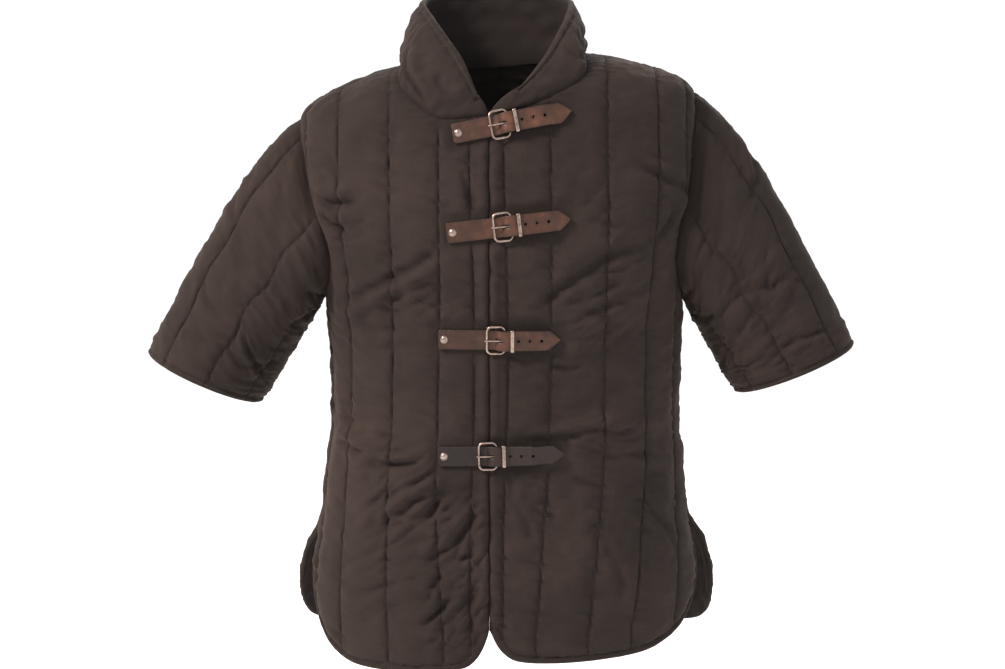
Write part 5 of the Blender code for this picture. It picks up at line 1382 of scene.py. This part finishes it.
def guideObject(points, edges, facing):
    # points and edges that the nodes work from, each with the way that it faces
    mesh = bpy.data.meshes.new("guide")
    mesh.from_pydata(points.tolist(), edges, [])
    mesh.attributes.new("facing", "FLOAT_VECTOR", "POINT").data.foreach_set("vector", facing.astype(np.float32).ravel())
    guide = bpy.data.objects.new("guide", mesh)
    bpy.context.scene.collection.objects.link(guide)
    bpy.context.view_layer.update()
    return guide


def quiltingStitches(rows, thread):
    # running stitches along each quilting line
    points = np.concatenate([row[0] for row in rows])
    facing = np.concatenate([row[1] for row in rows])
    edges, first = [], 0
    for row in rows:
        edges += [(k, k + 1) for k in range(first, first + len(row[0]) - 1)]
        first += len(row[0])
    tree, given, result = nodeGroup("running stitches", (("Pitch", "NodeSocketFloat"), ("Length", "NodeSocketFloat"),
                                                         ("Thickness", "NodeSocketFloat"), ("Seed", "NodeSocketInt"),
                                                         ("Thread", "NodeSocketMaterial")))
    curve = addNode(tree, "GeometryNodeMeshToCurve", links={0: given.outputs["Geometry"]})
    spaced = addNode(tree, "GeometryNodeResampleCurve", {"mode": "LENGTH"},
                     links={"Curve": curve.outputs[0], "Length": given.outputs["Pitch"]})
    facingNode = addNode(tree, "GeometryNodeInputNamedAttribute", {"data_type": "FLOAT_VECTOR"}, {"Name": "facing"})
    tangent = addNode(tree, "GeometryNodeInputTangent")
    along = addNode(tree, "FunctionNodeAlignRotationToVector", {"axis": "X"}, links={"Vector": tangent.outputs[0]})
    turned = addNode(tree, "FunctionNodeAlignRotationToVector", {"axis": "Z", "pivot_axis": "X"},
                     links={"Rotation": along.outputs[0], "Vector": facingNode.outputs[0]})
    wander = addNode(tree, "FunctionNodeRandomValue", {"data_type": "FLOAT_VECTOR"},
                     {0: (-0.06, -0.10, -0.16), 1: (0.06, 0.10, 0.16)}, {"Seed": given.outputs["Seed"]})
    wanderTurn = addNode(tree, "FunctionNodeEulerToRotation", links={0: wander.outputs[0]})
    posed = addNode(tree, "FunctionNodeRotateRotation", {"rotation_space": "LOCAL"},
                    links={0: turned.outputs[0], 1: wanderTurn.outputs[0]})
    size = addNode(tree, "FunctionNodeRandomValue", {"data_type": "FLOAT_VECTOR"},
                   {0: (0.82, 0.85, 0.8), 1: (1.14, 1.1, 1.1)}, {"Seed": given.outputs["Seed"]})
    whole = addNode(tree, "ShaderNodeCombineXYZ", links={0: given.outputs["Length"], 1: given.outputs["Thickness"],
                                                        2: given.outputs["Thickness"]})
    scale = addNode(tree, "ShaderNodeVectorMath", {"operation": "MULTIPLY"}, links={0: size.outputs[0], 1: whole.outputs[0]})
    stitch = addNode(tree, "GeometryNodeMeshUVSphere", values={"Segments": 5, "Rings": 3, "Radius": 0.5})
    # the sphere's poles lie along the thread
    lying = addNode(tree, "GeometryNodeTransform", values={"Rotation": (0.0, math.pi / 2, 0.0)},
                    links={"Geometry": stitch.outputs["Mesh"]})
    placed = addNode(tree, "GeometryNodeInstanceOnPoints",
                     links={"Points": spaced.outputs[0], "Instance": lying.outputs[0], "Rotation": posed.outputs[0],
                            "Scale": scale.outputs[0]})
    real = addNode(tree, "GeometryNodeRealizeInstances", links={0: placed.outputs[0]})
    smooth = addNode(tree, "GeometryNodeSetShadeSmooth", links={0: real.outputs[0]})
    finished = addNode(tree, "GeometryNodeSetMaterial", links={"Geometry": smooth.outputs[0], "Material": given.outputs["Thread"]})
    tree.links.new(finished.outputs[0], result.inputs[0])
    values = {"Pitch": stitches["pitch"], "Length": stitches["length"], "Thickness": stitches["thickness"],
              "Seed": stitches["seed"], "Thread": thread}
    return grown(guideObject(points, edges, facing), tree, values, "quilting_stitches")


def rivetHeads(metal):
    # a domed head on a thin washer, one where each strap is fixed to the cloth
    spots, ways = [], []
    for closure in closures["rows"]:
        at = np.array([[-closure[3] + 0.0075, 0.0, hardware["gap"] + hardware["strapThickness"] - 0.0001]])
        spot = placeOnCloth(closure, at)
        spots.append(spot[0])
        ways.append(unit(placeOnCloth(closure, at + [0, 0, 0.001]) - spot)[0])
    tree, given, result = nodeGroup("rivet heads", (("Radius", "NodeSocketFloat"), ("Rise", "NodeSocketFloat"),
                                                    ("Metal", "NodeSocketMaterial")))
    dome = addNode(tree, "GeometryNodeMeshUVSphere", values={"Segments": 24, "Rings": 10, "Radius": 1.0})
    radiusIn = addNode(tree, "ShaderNodeMath", {"operation": "MULTIPLY"}, {1: 0.86}, {0: given.outputs["Radius"]})
    domeSize = addNode(tree, "ShaderNodeCombineXYZ", links={0: radiusIn.outputs[0], 1: radiusIn.outputs[0],
                                                           2: given.outputs["Rise"]})
    head = addNode(tree, "GeometryNodeTransform", links={"Geometry": dome.outputs["Mesh"], "Scale": domeSize.outputs[0]})
    washer = addNode(tree, "GeometryNodeMeshUVSphere", values={"Segments": 24, "Rings": 6, "Radius": 1.0})
    washerRise = addNode(tree, "ShaderNodeMath", {"operation": "MULTIPLY"}, {1: 0.32}, {0: given.outputs["Rise"]})
    washerSize = addNode(tree, "ShaderNodeCombineXYZ", links={0: given.outputs["Radius"], 1: given.outputs["Radius"],
                                                             2: washerRise.outputs[0]})
    rim = addNode(tree, "GeometryNodeTransform", links={"Geometry": washer.outputs["Mesh"], "Scale": washerSize.outputs[0]})
    joined = addNode(tree, "GeometryNodeJoinGeometry")
    tree.links.new(head.outputs[0], joined.inputs[0])
    tree.links.new(rim.outputs[0], joined.inputs[0])
    points = addNode(tree, "GeometryNodeMeshToPoints", links={0: given.outputs["Geometry"]})
    facingNode = addNode(tree, "GeometryNodeInputNamedAttribute", {"data_type": "FLOAT_VECTOR"}, {"Name": "facing"})
    upright = addNode(tree, "FunctionNodeAlignRotationToVector", {"axis": "Z"}, links={"Vector": facingNode.outputs[0]})
    placed = addNode(tree, "GeometryNodeInstanceOnPoints",
                     links={"Points": points.outputs[0], "Instance": joined.outputs[0], "Rotation": upright.outputs[0]})
    real = addNode(tree, "GeometryNodeRealizeInstances", links={0: placed.outputs[0]})
    smooth = addNode(tree, "GeometryNodeSetShadeSmooth", links={0: real.outputs[0]})
    finished = addNode(tree, "GeometryNodeSetMaterial", links={"Geometry": smooth.outputs[0], "Material": given.outputs["Metal"]})
    tree.links.new(finished.outputs[0], result.inputs[0])
    values = {"Radius": hardware["rivetRadius"], "Rise": hardware["rivetRise"], "Metal": metal}
    return grown(guideObject(np.array(spots), [], np.array(ways)), tree, values, "rivet_heads")


def stageAndLights():
    scene = bpy.context.scene
    floorMaterial, tree, shader = newMaterial("pale matt floor")
    shader.inputs["Base Color"].default_value = sRgb("#fafafa")
    shader.inputs["Roughness"].default_value = 0.9
    mesh = bpy.data.meshes.new("studio_floor")
    size, drop = 30.0, -1.15
    mesh.from_pydata([(-size, -size, drop), (size, -size, drop), (size, size, drop), (-size, size, drop)], [],
                     [(0, 1, 2, 3)])
    mesh.materials.append(floorMaterial)
    floor = bpy.data.objects.new("studio_floor", mesh)
    scene.collection.objects.link(floor)
    world = bpy.data.worlds.new("studio")
    world.use_nodes = True
    world.node_tree.nodes["Background"].inputs["Color"].default_value = (1.0, 1.0, 1.0, 1.0)
    world.node_tree.nodes["Background"].inputs["Strength"].default_value = 1.06
    scene.world = world
    for name, spot, size, energy, tone in (
        ("key light", (-2.7, -1.5, 2.3), 1.0, 250.0, (1.0, 0.86, 0.77)),
        ("fill light", (2.4, -2.6, 0.3), 1.8, 14.0, (0.95, 0.97, 1.0)),
        ("back light", (0.8, 2.6, 1.6), 1.4, 40.0, (1.0, 1.0, 1.0)),
    ):
        light = bpy.data.lights.new(name, "AREA")
        light.size, light.energy, light.color = size, energy, tone
        lamp = bpy.data.objects.new(name, light)
        lamp.location = spot
        aim = np.array([0.0, 0.0, -0.32]) - np.array(spot)
        pitch = math.atan2(math.hypot(aim[0], aim[1]), -aim[2])
        lamp.rotation_euler = (pitch, 0.0, math.atan2(aim[1], aim[0]) - math.pi / 2)
        scene.collection.objects.link(lamp)
    scene.view_settings.view_transform = "Standard"
    lens = bpy.data.cameras.new("camera")
    lens.lens, lens.sensor_width = 69.0, 36.0
    camera = bpy.data.objects.new("camera", lens)
    tilt, far, aimHeight = math.radians(8.0), 2.5, -0.3556
    camera.location = (0.0, -far * math.cos(tilt), aimHeight + far * math.sin(tilt))
    camera.rotation_euler = (math.radians(90.0) - tilt, 0.0, 0.0)
    scene.collection.objects.link(camera)
    scene.camera = camera


def patchesOnPanel(rows, behind):
    made = []
    for (first, z), halfAlong, halfAcross, way, apart, height in rows:
        turn, level = (first, z) if behind else onFront(np.array([first]), np.array([z]))
        spot = toDrawing(np.atleast_1d(turn), np.atleast_1d(level))[0]
        made.append((spot, halfAlong, halfAcross, way, apart, height))
    return made


def creasesOnPanel(rows, behind):
    made = []
    for path, depth, width, lip in rows:
        path = np.array(path)
        turn, z = path.T if behind else onFront(*path.T)
        made.append((toDrawing(turn, z), depth, width, lip))
    return made


def keep(piece, slotName, *nodes):
    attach(piece, "root")
    if nodes:
        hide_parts(*nodes)


def makeGarment(canvas, lining):
    onFronts, onBack = creasesOnPanel(frontCreases, False), creasesOnPanel(backCreases, True)
    rightCreases = [row for row in onFronts if row[0][:, 0].mean() < -0.01]
    leftCreases = [row for row in onFronts if row[0][:, 0].mean() >= -0.01]
    patchesFront = patchesOnPanel(frontPatches, False)
    patchesRight = [row for row in patchesFront if row[0][0] < -0.01]
    patchesLeft = [row for row in patchesFront if row[0][0] >= -0.01]
    # the second material, the darker copy as painted shade, goes on the inside faces
    cloths = (canvas, lining)
    made = {
        "front_right": quiltedPanel("front_right_cloth", frontRuns(-1), lineTable(fronts["linesRight"]), (-95, 0), rightCreases,
                                    patchesRight, False, 11, cloths),
        "front_left": quiltedPanel("front_left_cloth", frontRuns(1), lineTable(fronts["linesLeft"]), (-5, 95), leftCreases,
                                   patchesLeft, False, 21, cloths),
        "back": quiltedPanel("back_cloth", backRuns(), lineTable(back["lines"]), (88, 272), onBack,
                             patchesOnPanel(backPatches, True), True, 31, cloths),
        "collar": collarPiece(cloths),
        "sleeve_right": sleevePiece("right", 41, cloths),
        "sleeve_left": sleevePiece("left", 51, cloths),
    }
    rows = [row for piece, stitched in made.values() for row in stitched]
    made = {node: piece for node, (piece, _) in made.items()}
    for node, piece in made.items():
        keep(piece, "quilted_cotton", node)
    return rows


def makeClosures(leather, metal):
    for number, closure in enumerate(closures["rows"], 1):
        keep(strapPiece(number, closure, leather), "brown_leather", f"strap_{number}")
        keep(chapePiece(number, closure, leather), "brown_leather", f"buckle_chape_{number}")
        keep(buckleFrame(number, closure, metal), "nickel_plated_steel", f"buckle_frame_{number}")
        keep(bucklePin(number, closure, metal), "nickel_plated_steel", f"buckle_prong_{number}")
        keep(keeperLoop(number, closure, metal), "nickel_plated_steel", f"strap_keeper_{number}")
        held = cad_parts[f"chape_rivet_{number}"]   # flat rivet under the strap, its CAD shape is right
        held.data.materials.clear()
        held.data.materials.append(metal)
    keep(rivetHeads(metal), "nickel_plated_steel", *[f"strap_rivet_{k}" for k in range(1, 5)])


canvas, lining = cottonCanvas("dyed cotton canvas", cottonLook), cottonCanvas("cotton lining in painted shade", liningInPaintedShadeLook)
stitchRows = makeGarment(canvas, lining)
print("cloth pieces made")
makeClosures(brownLeather(), nickelSteel())
print("straps, buckles and rivets made")
keep(quiltingStitches(stitchRows, quiltingThread()), "quilted_cotton")
print("stitches made:", len(stitchRows), "rows")
stageAndLights()
print("stage, lights and camera set")
